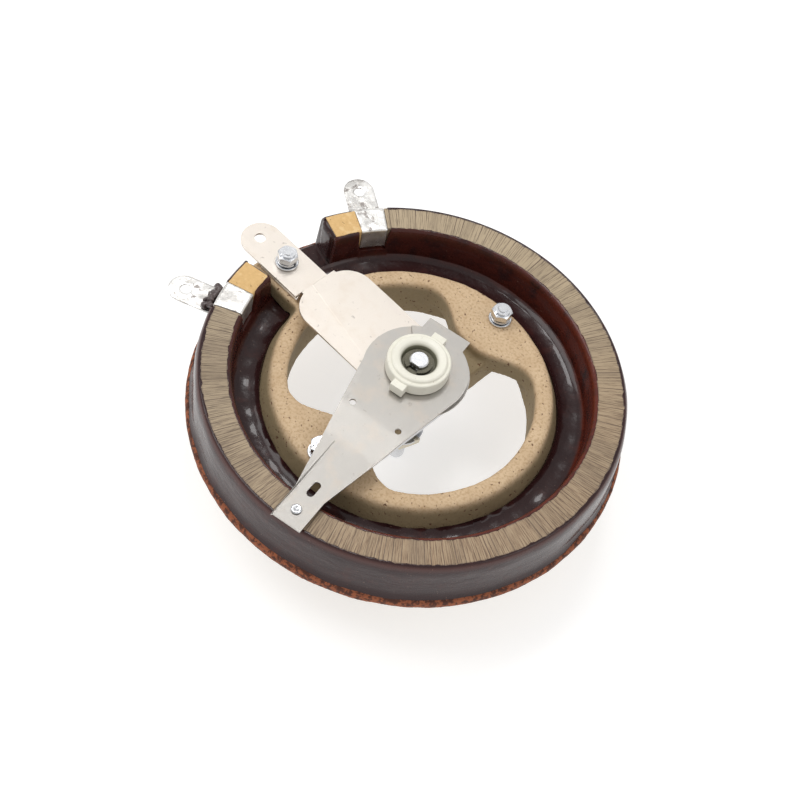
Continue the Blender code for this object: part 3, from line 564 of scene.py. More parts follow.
def dipped_tin(place, axes):
    flow = place.grain(8.0, 3.0, 0.5)
    fine = place.grain(0.9, 3.0, seed=4.0)
    burnt = place.grain(3.2, 4.0, 0.65, seed=17.0)
    colour = flow.above(0.45, 0.16).toward((0.52, 0.50, 0.475), (0.93, 0.915, 0.885))
    colour = burnt.marked(0.61, 0.05, 0.75, colour, (0.17, 0.13, 0.115))
    colour = fine.marked(0.66, 0.04, 0.4, colour, (0.62, 0.50, 0.33))
    return {"Base Color": colour, "Roughness": 0.22 + 0.22 * fine,
            "Metallic": 0.9 - burnt.above(0.61, 0.05) * 0.5, "bump": (flow * 2.0 + fine * 0.35, 0.12)}


def plated(light, dark):
    def recipe(place, axes):
        fine = place.grain(0.6, 3.0)
        cloud = place.grain(3.5, 3.0, seed=6.0)
        colour = cloud.toward(dark, light)
        colour = fine.marked(0.68, 0.06, 0.15, colour, (0.30, 0.28, 0.26))
        return {"Base Color": colour, "Roughness": 0.2 + 0.12 * fine, "bump": (cloud, 0.02)}
    return recipe


def black_burn(place, axes):
    lumps = place.grain(1.2, 4.0)
    colour = lumps.toward((0.018, 0.012, 0.012), (0.10, 0.06, 0.055))
    return {"Base Color": colour, "Roughness": 0.2 + 0.35 * lumps, "bump": (lumps, 0.3)}


arm_sheet = rolled_sheet((0.53, 0.505, 0.47), (0.37, 0.355, 0.335), (1.0, 9.0, 1.0))
strip_sheet = rolled_sheet((0.83, 0.77, 0.70), (0.66, 0.60, 0.535), (9.0, 1.0, 1.0))
zinc = plated((0.82, 0.83, 0.85), (0.60, 0.61, 0.63))
nickel = plated((0.76, 0.71, 0.60), (0.58, 0.53, 0.42))
alloy = plated((0.50, 0.45, 0.38), (0.34, 0.30, 0.26))
oiled_steel = plated((0.15, 0.14, 0.10), (0.07, 0.065, 0.05))
arm_finish = make_finish("satin_arm_steel", arm_sheet, Metallic=0.95)
sheet_finish = make_finish("satin_collector_steel", strip_sheet, Metallic=0.9)
tin_finish = make_finish("dipped_tin", dipped_tin)
zinc_finish = make_finish("bright_zinc", zinc, Metallic=1.0)
nickel_finish = make_finish("nickelled_brass", nickel, Metallic=1.0)
alloy_finish = make_finish("contact_alloy", alloy, Metallic=0.85)
spring_steel_finish = make_finish("oiled_spring_steel", oiled_steel, Metallic=0.7)
burn_finish = make_finish("burnt_glaze", black_burn, Coat_Weight=0.5)

# %% [markdown]
# ## Pieces
# Each finished mesh goes through one function. It turns millimetres into metres, smooths the
# shading between faces that meet softly, gives the piece its finish, parents it to the body that
# carries it and hides the imported nodes that it stands for.

# %% Adding a piece


def add_piece(name, mesh, material, body, replaced, sharp=40.0):
    mesh.transform(Matrix.Scale(MM, 4))
    mesh.materials.clear()
    mesh.materials.append(material)
    mesh.name = name
    mesh.polygons.foreach_set("use_smooth", [True] * len(mesh.polygons))
    mesh.set_sharp_from_angle(angle=radians(sharp))
    piece = bpy.data.objects.new(name, mesh)
    scene_objects.link(piece)
    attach(piece, body)
    if replaced:
        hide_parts(*replaced)
    print(name, sum(len(face.vertices) - 2 for face in mesh.polygons), "triangles")


def refinish(material, *nodes):
    """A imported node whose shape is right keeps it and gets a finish."""
    for node in nodes:
        holder = bpy.data.objects[frame["nodes"][node].name]
        holder.data.materials.clear()
        holder.data.materials.append(material)


# %% [markdown]
# The base is one pressed clay body: disc, hub ring, bridge, bolt pads, boss and post. Pressed clay
# has no sharp inside corners, so its parts are overlapped as plain solids and melted into one skin
# by a voxel remesh. A little noise then gives the uneven surface that firing leaves.

# %% Ceramic base

BRIDGE_HALF_W = 10.0
INTO_RING = HUB_IN + 3.0
BOSS_HALF_W = 11.0


def base_shape():
    ring = turned([
        (HUB_IN, BASE_Z), (DISC_R - 1.4, BASE_Z), (DISC_R - 0.3, BASE_Z + 0.8), (DISC_R - 0.2, BASE_Z + 2.5),
        (DISC_R - 0.3, FLANGE_Z - 1.0), (DISC_R - 1.4, FLANGE_Z), (HUB_FOOT, FLANGE_Z), (HUB_FOOT, FLOOR_Z),
        (HUB_OUT + 0.4, HUB_Z - 2.0), (HUB_OUT - 0.5, HUB_Z - 0.5), (HUB_OUT - 2.0, HUB_Z),
        (HUB_IN + 1.6, HUB_Z), (HUB_IN + 0.4, HUB_Z - 0.5), (HUB_IN, HUB_Z - 1.7)], 180)
    bridge = box(-BRIDGE_HALF_W, BRIDGE_HALF_W, -INTO_RING, INTO_RING, BASE_Z, BRIDGE_Z)
    half = [(5.0, 33.7), (10.5, 35.8), (15.5, 38.9), (20.5, 41.6), (26.0, 42.9), (31.5, 41.2), (35.0, 38.2),
            (36.5, 40.5), (20.0, INTO_RING - 2.0)]
    pad = rounded([*half, *((-x, y) for x, y in reversed(half))], 2.5)
    pads = [prism([(x, side * y) for x, y in pad], HUB_Z - 12.0, HUB_Z - 0.05) for side in (1, -1)]
    post = turned([(0.0, BRIDGE_Z - 4.0), (11.0, BRIDGE_Z - 4.0), (9.6, BRIDGE_Z + 1.5), (9.3, POST_Z - 0.8),
                   (8.6, POST_Z), (0.0, POST_Z)], 64)
    boss = box(-TRACK_OUT + 0.5, -HUB_OUT + 3.0, -BOSS_HALF_W, BOSS_HALF_W, FLANGE_Z - 2.0, BOSS_Z)
    holes = [placed(rod(BOLT_HOLE_R, 0.0, 60.0, 32), *place) for place in BOLT_XY.values()]
    bore = turned([(0.0, 0.0), (7.0, 0.0), (7.0, 18.1), (4.6, 18.1), (4.6, 60.0), (0.0, 60.0)], 48)
    skin = fused([ring, bridge, *pads, post, boss], 0.95, 3)
    skin = roughened(skin, [(11.0, 0.25), (3.0, 0.12)])
    return cut(skin, bore, *holes)


add_piece("pressed_base", base_shape(), base_finish, "base", ["ceramic_base"])

# %% [markdown]
# The core is an open ring of softer, yellower clay. Only its two bare ends show, beside the
# straps, so one rounded section swept round the shaft is enough, with a finer noise on it.

# %% Winding core


def core_shape():
    low = FLANGE_Z + 1.3
    under = 0.8      # how far the core lies under the wire's surface
    full = rounded(oblong(TRACK_IN, TRACK_OUT, low, TRACK_Z), 0.9, 3)
    slim = rounded(oblong(TRACK_IN + under, TRACK_OUT - under, low + under, TRACK_Z - under), 0.9, 3)
    near = STRAP_A - 0.1
    far = STRAP_B + STRAP_ARC + 0.1
    stations = [(direction, full) for direction in evenly(CORE_FROM, near, 20)]
    stations += [(direction, slim) for direction in evenly(near + 0.05, far - 0.05, 200)]
    stations += [(direction, full) for direction in evenly(far, CORE_TO, 20)]
    return roughened(swept(stations), [(5.0, 0.12)])


add_piece("core_ring", core_shape(), core_finish, "base", ["winding_core"])

# %% [markdown]
# The winding is about five hundred turns of wire, ground flat on top until each turn is a bright
# strip. One turn is a bar with two short legs that go over the core's shoulders. A Geometry Nodes
# tree sets that turn round the shaft, with a little random lean and height from a fixed seed, as
# hand-fed wire has. The named inputs are the sizes that a winder would set.

# %% Winding by Geometry Nodes


def make_tree(name, inputs):
    """An empty geometry tree with a geometry input and output and the named inputs."""
    tree = bpy.data.node_groups.new(name, "GeometryNodeTree")
    tree.interface.new_socket("Geometry", in_out="INPUT", socket_type="NodeSocketGeometry")
    tree.interface.new_socket("Geometry", in_out="OUTPUT", socket_type="NodeSocketGeometry")
    for label, kind in inputs:
        tree.interface.new_socket(label, in_out="INPUT", socket_type="NodeSocket" + kind)
    start = tree.nodes.new("NodeGroupInput")
    return tree, {socket.name: Field(tree, socket) for socket in start.outputs}


def end_tree(tree, geometry, finish):
    whole = geometry.node("GeometryNodeRealizeInstances", {}, {"Geometry": geometry})
    dressed = whole.node("GeometryNodeSetMaterial", {}, {"Geometry": whole, "Material": finish})
    end = tree.nodes.new("NodeGroupOutput")
    tree.links.new(dressed.socket, end.inputs[0])


def grown(tree, mesh, **values):
    """Runs a geometry tree on a mesh with its inputs set, and returns a plain mesh."""
    host = bpy.data.objects.new("host", mesh)
    modifier = host.modifiers.new("grow", "NODES")
    modifier.node_group = tree
    for item in tree.interface.items_tree:
        if item.in_out == "INPUT" and item.name in values:
            modifier[item.identifier] = values[item.name]
    scene_objects.link(host)
    return evaluated(host)


def winding_tree():
    tree, given = make_tree("ground_winding", [
        ("Turns", "Int"), ("Start", "Float"), ("Span", "Float"), ("Lean", "Float"), ("Seed", "Int"),
        ("Turn", "Object"), ("Finish", "Material")])
    add = given["Turns"].node
    points = add("GeometryNodePoints", {}, {"Count": given["Turns"]})
    index = add("GeometryNodeInputIndex", {}, {})
    along = index / (given["Turns"] - 1)

    def chance(low, high, salt):
        return add("FunctionNodeRandomValue", {"data_type": "FLOAT"},
                   {2: low, 3: high, "Seed": given["Seed"] + salt}, 1)

    angle = given["Start"] + given["Span"] * along + chance(-0.0016, 0.0016, 1)
    turn = add("ShaderNodeCombineXYZ", {}, {2: angle})
    height = add("ShaderNodeCombineXYZ", {}, {2: chance(-0.04, 0.0, 2)})
    shape = add("GeometryNodeObjectInfo", {}, {"Object": given["Turn"]}, 4)
    lifted = add("GeometryNodeSetPosition", {}, {"Geometry": points, "Offset": height})
    wires = add("GeometryNodeInstanceOnPoints", {},
                {"Points": lifted, "Instance": shape, "Rotation": turn})
    lean = add("ShaderNodeCombineXYZ", {}, {2: given["Lean"] * chance(-1.0, 1.0, 3)})
    leaned = add("GeometryNodeRotateInstances", {}, {"Instances": wires, "Rotation": lean})
    end_tree(tree, leaned, given["Finish"])
    return tree


def one_turn():
    """A bar ground flat on top, with a leg over each shoulder of the core."""
    half = 0.385
    path = [(TRACK_IN + 0.05, TRACK_Z - 3.0), (TRACK_IN + 0.05, TRACK_Z - 0.5), (TRACK_IN + 0.35, TRACK_Z),
            (TRACK_OUT - 0.35, TRACK_Z), (TRACK_OUT - 0.05, TRACK_Z - 0.5), (TRACK_OUT - 0.05, TRACK_Z - 3.0)]
    inner = [(TRACK_OUT - 0.7, TRACK_Z - 3.0), (TRACK_OUT - 0.7, TRACK_Z - 0.6),
             (TRACK_IN + 0.7, TRACK_Z - 0.6), (TRACK_IN + 0.7, TRACK_Z - 3.0)]
    mesh = prism([*path, *inner], -half, half)
    mesh.transform(Matrix.Rotation(radians(90.0), 4, "X"))
    return mesh


turn_object = bpy.data.objects.new("one_turn", one_turn())
scene_objects.link(turn_object)
WIRE_PITCH = 0.8
wind_from = STRAP_A + STRAP_ARC + 0.45
wind_span = STRAP_B - 0.45 - wind_from
turns = round(radians(wind_span) * (TRACK_IN + TRACK_OUT) / 2 / WIRE_PITCH)
wound = grown(winding_tree(), bpy.data.meshes.new("none"), Turns=turns, Start=radians(wind_from),
              Span=radians(wind_span), Lean=0.0016, Seed=4, Turn=turn_object, Finish=wire_finish)
bpy.data.objects.remove(turn_object)
cement_section = rounded(oblong(TRACK_IN + 0.1, TRACK_OUT - 0.1, TRACK_Z - 9.0, TRACK_Z - 0.1), 0.3, 2)
cement = swept([(direction, cement_section)
                for direction in evenly(wind_from - 0.3, wind_from + wind_span + 0.3, 300)])
add_piece("wound_track", wound, wire_finish, "base", ["resistance_winding"])
add_piece("winding_cement", cement, cement_finish, "base", [])
print(turns, "turns")

# %% [markdown]
# The glaze lines the trench, climbs both sides of the winding and stops ragged at the track's
# edges. Its section changes round the shaft, so it is swept through many stations. At each one the
# edges creep, the walls lean and the floor pools by smooth noise that closes on itself.

# %% Glaze coat


def mixed(section, other, share):
    return [(a[0] + (b[0] - a[0]) * share, a[1] + (b[1] - a[1]) * share) for a, b in zip(section, other)]


def trench_side(angle, floor_z):
    """From the foot of the winding across the pooled floor to the hub ring, then under it."""
    pool = wave(angle, 0.9, 3.0, 2.2) + wave(angle, 0.35, 5.0, 9.0)
    base = floor_z + pool
    return [(TRACK_IN - 2.0, base + 1.7), (TRACK_IN - 3.0, base + 0.7), (TRACK_IN - 5.0, base + 0.15),
            (TRACK_IN - 8.0, base), (HUB_FOOT + 2.6, base + 0.1), (HUB_FOOT + 1.0, base + 0.6),
            (HUB_FOOT + 0.2, base + 1.5 + wave(angle, 0.9, 8.0, 12.0)), (HUB_FOOT - 1.2, FLOOR_Z - 1.0),
            (HUB_FOOT - 1.2, FLANGE_Z - 1.0)]


def walled_section(angle, top=0.0):
    """Both walls at full height. The edges creep over the winding, at most 0.2 mm above it."""
    edge_out = 0.75 + wave(angle, 0.55, 11.0, 16.0) + wave(angle, 0.5, 12.0, 55.0)
    edge_in = 0.7 + wave(angle, 0.5, 13.0, 16.0) + wave(angle, 0.45, 14.0, 55.0)
    lean = wave(angle, 0.5, 15.0, 5.0)
    crest = TRACK_Z + top
    return [(TRACK_OUT + 3.4 + lean, FLANGE_Z - 0.3), (TRACK_OUT + 2.6 + lean, FLANGE_Z + 1.2),
            (TRACK_OUT + 2.0 + lean, FLANGE_Z + 4.0), (TRACK_OUT + 1.85 + lean * 0.8, crest - 6.5),
            (TRACK_OUT + 1.6 + lean * 0.6, crest - 3.6), (TRACK_OUT + 1.25 + lean * 0.4, crest - 1.8),
            (TRACK_OUT + 0.7, crest - 0.6), (TRACK_OUT + 0.1, crest - 0.02),
            (TRACK_OUT - edge_out * 0.6, crest + 0.15), (TRACK_OUT - edge_out, crest + 0.05),
            (TRACK_OUT - edge_out - 0.1, crest - 1.2),
            (TRACK_IN + edge_in + 0.1, crest - 1.2), (TRACK_IN + edge_in, crest + 0.05),
            (TRACK_IN + edge_in * 0.6, crest + 0.15), (TRACK_IN - 0.1, crest - 0.02),
            (TRACK_IN - 0.7, crest - 0.6), (TRACK_IN - 1.15, crest - 1.8), (TRACK_IN - 1.35, crest - 4.5),
            (TRACK_IN - 1.5, crest - 8.0)] + trench_side(angle, FLOOR_Z)


def lowered_section(angle):
    """Beside a strap the walls stop low, so that the tinned legs show."""
    full = walled_section(angle)
    drop = TRACK_Z - 12.0
    trench = len(trench_side(angle, FLOOR_Z))
    return [(r, min(z, drop)) for r, z in full[:-trench]] + full[-trench:]


def gap_section(angle):
    """In the gap between the core's ends the glaze is a sagging floor from the rim to the trench."""
    bed = FLANGE_Z + 1.0
    ripple = wave(angle, 0.6, 18.0, 7.0)
    radii = [3.4, 2.6, 2.0, 1.85, 1.5, 0.9, 0.0, -1.0, -2.2, -3.4, -4.8, -6.2, -7.6, -9.0, -10.4, -11.6,
             -12.8, -13.6, -14.2]
    floor = [FLANGE_Z - 0.3, FLANGE_Z + 0.2] + [bed + 0.1 * k + ripple for k in range(1, 18)]
    return [(TRACK_OUT + r, z) for r, z in zip(radii, floor)] + trench_side(angle, FLOOR_Z)


def near(angle, start, end, soft):
    """1 between two directions, 0 beyond them, smooth over a few tenths of a degree."""
    inside = min((angle - start) / soft, (end - angle) / soft) + 0.5
    share = min(max(inside, 0.0), 1.0)
    return share * share * (3.0 - 2.0 * share)


def glaze_section(angle):
    over_core = near(angle, CORE_FROM - 0.9, CORE_TO + 0.9, 0.8)
    at_strap = max(near(angle, STRAP_A - 0.6, STRAP_A + STRAP_ARC + 0.5, 0.7),
                   near(angle, STRAP_B - 0.5, STRAP_B + STRAP_ARC + 0.6, 0.7))
    bare = max(near(angle, CORE_FROM - 0.1, STRAP_A, 0.5),
               near(angle, STRAP_B + STRAP_ARC, CORE_TO + 0.1, 0.5))
    full = walled_section(angle, -0.35 * bare)
    return mixed(gap_section(angle), mixed(full, lowered_section(angle), at_strap), over_core)


def glaze_shape():
    """The coat ends beside the boss, so its last points are set clear of the boss's sides."""
    clear = BOSS_HALF_W + 0.4
    start, end, step = 184.2, 535.8, 0.6
    count = round((end - start) / step)
    coat = swept([(direction, glaze_section(direction)) for direction in evenly(start, end, count)])
    bm = bmesh.new()
    bm.from_mesh(coat)
    for vertex in bm.verts:
        if vertex.co.x < -HUB_OUT and abs(vertex.co.y) < clear:
            vertex.co.y = clear if vertex.co.y > 0 else -clear
    return to_mesh(bm, "glaze")


add_piece("glaze_coat", glaze_shape(), glaze_finish, "base", ["enamel_coat"])


# %% [markdown]
# Where the core's ends meet the gap, the glaze has run down and set as a thick rounded cap with a
# ragged edge. Each cap is a few overlapping slabs of the core's section, melted together and roughened.

# %% Glazed core ends


def ball(radius, x, y, z):
    bm = bmesh.new()
    bmesh.ops.create_icosphere(bm, subdivisions=3, radius=radius)
    for vertex in bm.verts:
        vertex.co = Vector((vertex.co.x + x, vertex.co.y + y, vertex.co.z + z))
    return to_mesh(bm, "ball")


def end_cap(direction, side):
    """Rounded slab over the core's end face, out from it by about two millimetres."""
    low = FLANGE_Z + 0.6
    face = rounded(oblong(TRACK_IN - 0.9, TRACK_OUT + 0.9, low, TRACK_Z - 0.5), 3.0, 5)
    shapes = []
    for inset, reach in ((0.0, 0.2), (0.5, 0.7), (1.3, 1.15), (2.6, 1.5)):
        middle_r, middle_z = (TRACK_IN + TRACK_OUT) / 2, (low + TRACK_Z) / 2
        shrunk = [(r + (middle_r - r) * inset / 6.0, z + (middle_z - z) * inset / 12.0) for r, z in face]
        shapes.append(swept([(direction - 0.6 * side, shrunk), (direction + reach * side, shrunk)]))
    return roughened(fused(shapes, 0.4, 12), [(5.0, 0.35)])


add_piece("glazed_end_a", end_cap(CORE_FROM, -1.0), glaze_finish, "base", [])
add_piece("glazed_end_b", end_cap(CORE_TO, 1.0), glaze_finish, "base", [])

# %% [markdown]
# Each end terminal is a strip bent over the core, with a lug that leaves it sideways. It was dipped
# in solder, so the band and the lug are melted into one skin with a fine voxel, and rough noise
# makes the runs and dimples of the dip.

# %% End terminals

LUG_Z = TRACK_Z - 7.0


def end_terminal_shape(start):
    out_face, in_face = TRACK_OUT + 0.4, TRACK_IN - 0.4
    band = [(out_face, TRACK_Z - 11.0), (out_face, TRACK_Z - 0.4), (out_face - 0.6, TRACK_Z + 0.2),
            (in_face + 0.6, TRACK_Z + 0.2), (in_face, TRACK_Z - 0.4), (in_face, TRACK_Z - 11.0),
            (in_face + 0.9, TRACK_Z - 11.0), (in_face + 0.9, TRACK_Z - 0.7), (out_face - 0.9, TRACK_Z - 0.7),
            (out_face - 0.9, TRACK_Z - 11.0)]
    strap = swept([(direction, band) for direction in evenly(start, start + STRAP_ARC, 16)])
    tip, half_w = TRACK_OUT + 16.3, 6.9
    outline = [(out_face - 0.6, -6.2), (out_face + 2.0, -half_w), *arc(tip, 0.0, half_w, -90.0, 90.0, 24),
               (out_face + 2.0, half_w), (out_face - 0.6, 6.2)]
    lug = prism(outline, LUG_Z - 0.9, LUG_Z - 0.05, [circle(2.3, tip - 0.7, 0.0, 32)])
    lug = placed(lug, turn=start + STRAP_ARC / 2)
    return roughened(fused([strap, lug], 0.36, 2), [(3.6, 0.10), (1.3, 0.02)])


for label, start in (("a", STRAP_A), ("b", STRAP_B)):
    add_piece(f"solder_dipped_terminal_{label}", end_terminal_shape(start), tin_finish, "base",
              [f"end_terminal_{label}"])

# %% [markdown]
# Between the first lug and its strap the glaze has boiled into black glossy drops. Each one is a
# ball, placed by chance from a fixed seed along the strap's outer leg, and all are melted into one
# crust.

# %% Burnt drops


def burnt_crust():
    chance = Random(7)
    drops = []
    for _ in range(34):
        turn = radians(STRAP_A + 0.3 + 8.2 * chance.random())
        reach = chance.random()
        out = TRACK_OUT + 1.0 + 4.6 * reach
        height = LUG_Z + 0.3 + 5.6 * chance.random() * (1.0 - 0.85 * reach)
        drops.append(ball(0.9 + 0.9 * chance.random(), out * cos(turn), out * sin(turn), height))
    return roughened(fused(drops, 0.3, 1), [(1.4, 0.35)])


add_piece("burnt_drops", burnt_crust(), burn_finish, "base", [])

# %% [markdown]
# Rolled sheet starts as a flat outline raised to a thickness. It is cut across at each bend line,
# and then every point is lifted by the bend path, which is averaged over a short window so that a
# bend has a radius. A small bevel on the outline is the burr-free edge that catches the light.

# %% Sheet metal


def bend_height(path, x, window):
    """Height of a bent path at x, averaged over a window so that corners become bends."""
    total = 0.0
    for k in range(-4, 5):
        at = x + window * k / 4
        for (x0, z0), (x1, z1) in zip(path, path[1:]):
            if x0 <= at <= x1 or (at > x1 and x1 == path[-1][0]) or (at < x0 and x0 == path[0][0]):
                share = min(max((at - x0) / (x1 - x0), 0.0), 1.0)
                total += z0 + (z1 - z0) * share
                break
    return total / 9


def sheet_shape(outline, holes, path, thickness, window=1.2, lift=None, across=(), bevel=0.14):
    flat = prism(outline, 0.0, thickness, holes)
    bm = bmesh.new()
    bm.from_mesh(flat)
    lines = [x + window * k / 2 for x, _ in path[1:-1] for k in range(-2, 3)]
    for normal, places in (((1, 0, 0), lines), ((0, 1, 0), across)):
        for at in places:
            everything = [*bm.verts, *bm.edges, *bm.faces]
            bmesh.ops.bisect_plane(bm, geom=everything, dist=0.0005, plane_co=Vector(normal) * at,
                                   plane_no=normal)
    for vertex in bm.verts:
        vertex.co.z += bend_height(path, vertex.co.x, window)
        if lift:
            vertex.co.z += lift(vertex.co.x, vertex.co.y)
    bmesh.ops.dissolve_limit(bm, angle_limit=radians(0.4), verts=bm.verts, edges=bm.edges)
    return bevelled(to_mesh(bm, "sheet"), bevel)


# %% Wiper arm


def arm_outline(tip_u):
    """Round head with a notch on one side, a square tab behind and a tapering blade ahead."""
    head, tab = 21.5, 10.0
    corner = 180.0 - degrees(atan2(tab, sqrt(head ** 2 - tab ** 2)))
    right = [*arc(0.0, 0.0, head, -corner, -140.0, 4), *arc(0.0, 0.0, 17.0, -140.0, -99.0, 14),
             *arc(0.0, 0.0, head, -99.0, -76.0, 10)]
    blade = [(74.0, -6.8), (tip_u, -6.8), (tip_u, 6.8), (74.0, 6.8)]
    return [*right, *blade, *arc(0.0, 0.0, head, 76.0, corner, 40), (-25.0, tab), (-25.0, -tab)]


def arm_lip(u, v):
    """The blade's edge is turned down near the tip."""
    along = min(max((u - 73.5) / 2.0, 0.0), 1.0)
    return -1.1 * along * min(max((-v - 6.0) / 0.7, 0.0), 1.0)


ARM_HEAD_Z = low_z("wiper_arm") + 1.7
tip_z = TRACK_Z + 2.0
slot_at, slot_half, slot_r = 71.6, 2.15, 1.6
slot = [*arc(slot_at + slot_half, 0.0, slot_r, -90.0, 90.0, 10),
        *arc(slot_at - slot_half, 0.0, slot_r, 90.0, 270.0, 10)]
arm_holes = [circle(9.0, steps=64), slot, circle(1.4, 30.0, 11.0, 24), circle(1.4, 30.0, -11.0, 24),
             circle(1.5, 83.0, 0.0, 24)]
arm = sheet_shape(arm_outline(TRACK_OUT + 2.0), arm_holes,
                  [(-30.0, ARM_HEAD_Z), (32.0, ARM_HEAD_Z), (47.0, tip_z), (95.0, tip_z)], 0.8,
                  1.6, arm_lip, (-6.7, -6.35, -6.0))
add_piece("spring_arm", placed(arm, turn=ARM_AT), arm_finish, "rotor", ["wiper_arm"],
          FLAT_SHEET)

# %% [markdown]
# The collector plate runs from the terminal bolt up to the shaft, with rounded shoulders. The lug
# plate lies on its foot and keeps a square end over the trench. Both are cut from the same rolled
# strip, so they share a finish, and the bracket under the base is made the same way.

# %% Collector plate, centre lug and bracket

PLATE_Z = TRACK_Z + 0.6
FOOT_Z = HUB_Z - 0.7
BRACKET_BOLT = 52.6      # shaft to each of the bracket's bolts
bolt_x = BOLT_XY["terminal"][0]


def collector_shape():
    edge = -(HUB_OUT - 0.5)
    half_foot, shoulder = 9.3, 12.0
    corner_x, corner_y = edge + shoulder, 6.0
    turn_in = degrees(acos((half_foot - corner_y) / shoulder))
    lower = [(bolt_x - 6.0, -half_foot), *arc(corner_x, -corner_y, shoulder, 270.0 - turn_in, 270.0, 16)]
    upper = [(x, -y) for x, y in reversed(lower)]
    outline = [*lower, *arc(0.0, 0.0, 18.0, -90.0, 90.0, 60), *upper]
    holes = [circle(9.6, steps=48), circle(BOLT_HOLE_R, bolt_x, 0.0, 32)]
    riser = -(HUB_OUT + 0.9)
    path = [(bolt_x - 10.0, FOOT_Z), (riser - 1.0, FOOT_Z), (riser, PLATE_Z), (20.0, PLATE_Z)]
    return sheet_shape(outline, holes, path, 1.0, 0.7)


def centre_lug_shape():
    tip = -(TRACK_OUT + 5.8)
    inner = -(HUB_OUT + 3.5)
    half_w = 9.2
    outline = [(inner, -half_w), (inner, half_w), *arc(tip, 0.0, half_w, 90.0, 270.0, 40)]
    z = FOOT_Z + 1.3
    holes = [circle(2.5, -(TRACK_OUT + 7.0), 0.0, 36), circle(BOLT_HOLE_R, bolt_x, 0.0, 32)]
    return sheet_shape(outline, holes, [(-120.0, z), (-40.0, z)], 1.0)


def bracket_shape():
    end, end_r = BRACKET_BOLT + 7.5, 8.5
    outline = [*arc(end - end_r, 0.0, end_r, -90.0, 90.0, 24), *arc(end_r - end, 0.0, end_r, 90.0, 270.0, 24)]
    holes = [circle(6.3, steps=40), *(circle(BOLT_HOLE_R, x, 0.0, 24) for x in (BRACKET_BOLT, -BRACKET_BOLT))]
    path = [(-end - 5.0, 6.0), (-29.0, 6.0), (-20.0, 0.0), (20.0, 0.0), (29.0, 6.0), (end + 5.0, 6.0)]
    return placed(sheet_shape(outline, holes, path, 2.5, 1.6, bevel=0.3), turn=90.0)


add_piece("collector_strip", collector_shape(), sheet_finish, "base", ["collector_plate"],
          FLAT_SHEET)
add_piece("centre_lug_plate", centre_lug_shape(), sheet_finish, "base", ["centre_terminal"],
          FLAT_SHEET)
add_piece("panel_bracket", bracket_shape(), zinc_finish, "base", ["front_bracket"], FLAT_SHEET)

# %% [markdown]
# The button is pressed steatite: a fine, cream, half glossy ceramic. It is turned with a ridged
# rim and a recess, the two driving ears are joined on, and a bevel takes every edge off.

# %% Button on the shaft

HUB_TOP_Z = top_z("insulating_hub")


def button_shape():
    top = HUB_TOP_Z
    base = ARM_HEAD_Z + 1.1
    recess = top - 4.4
    button = turned([
        (0.0, base - 3.6), (8.6, base - 3.6), (8.6, base), (13.0, base), (13.3, base + 0.4),
        (13.3, top - 2.2), (13.15, top - 1.5), (12.7, top - 1.15), (11.9, top - 1.25),
        (11.6, top - 1.1), (11.4, top - 0.35),
        (10.8, top), (9.0, top), (8.3, top - 0.35), (7.4, top - 1.5), (7.2, recess + 0.4), (6.9, recess),
        (0.0, recess)], 128)
    ears = [placed(box(12.3, 16.4, -3.0, 3.0, top - 6.7, top - 2.2), turn=turn) for turn in (0.0, 180.0)]
    for ear in ears:
        button = combined(button, ear, "UNION")
    bore = rod(4.3, base - 5.0, top, 48)
    return bevelled(cut(button, bore), 0.3, 3)


add_piece("steatite_button", placed(button_shape(), turn=ARM_AT), hub_finish, "rotor",
          ["insulating_hub"], 28.0)

# %% [markdown]
# ## Fasteners
# The three bolted joints are alike, so each kind of part is made once and a Geometry Nodes tree
# sets it at the three bolts. Nobody lines up nuts when tightening them, so the tree turns each one
# by its own random angle from a fixed seed.

# %% One of each fastener


def threaded(radius, pitch, z0, z1, steps=28, rows_per_turn=5):
    """A rod with a real helical thread: the radius follows distance along the helix."""
    depth = 0.55 * pitch
    rows = max(int((z1 - z0) / pitch * rows_per_turn), 4)
    bm = bmesh.new()
    grid = []
    for j in range(rows + 1):
        z = z0 + (z1 - z0) * j / rows
        near_end = min(1.0, (z1 - z) / pitch + 0.1, (z - z0) / pitch + 0.1)
        ring = []
        for i in range(steps):
            phase = (z / pitch - i / steps) % 1.0
            r = radius - depth * abs(2.0 * phase - 1.0) * near_end - (1.0 - near_end) * depth
            ring.append(bm.verts.new((r * cos(tau * i / steps), r * sin(tau * i / steps), z)))
        grid.append(ring)
    for low, high in zip(grid, grid[1:]):
        for i in range(steps):
            j = (i + 1) % steps
            bm.faces.new((low[i], low[j], high[j], high[i]))
    bm.faces.new(grid[0])
    bm.faces.new(grid[-1])
    return to_mesh(bm, "thread")


def hex_outline(half_flats):
    return [(half_flats / cos(radians(30.0)) * cos(radians(60.0 * i)),
             half_flats / cos(radians(30.0)) * sin(radians(60.0 * i))) for i in range(6)]


def nut_shape(half_flats, bore, height):
    """A hexagon whose corners are turned off top and bottom, as a nut's are."""
    corner = half_flats / cos(radians(30.0))
    cone = turned([(0.0, 0.0), (half_flats * 0.97, 0.0), (corner + 0.02, 0.5), (corner + 0.02, height - 0.5),
                   (half_flats * 0.97, height), (0.0, height)], 48)
    body = combined(prism(hex_outline(half_flats), 0.0, height), cone, "INTERSECT")
    hole = turned([(0.0, -1.0), (bore, -1.0), (bore, height - 0.55), (bore + 0.75, height + 0.2),
                   (bore + 0.75, height + 1.0), (0.0, height + 1.0)], 32)
    return cut(body, hole)


def washer_shape(outer, inner, height):
    edge = min(0.2, height * 0.25)
    return turned([(inner + edge, 0.0), (outer - edge, 0.0), (outer, edge), (outer, height - edge),
                   (outer - edge, height), (inner + edge, height), (inner, height - edge), (inner, edge)], 56)


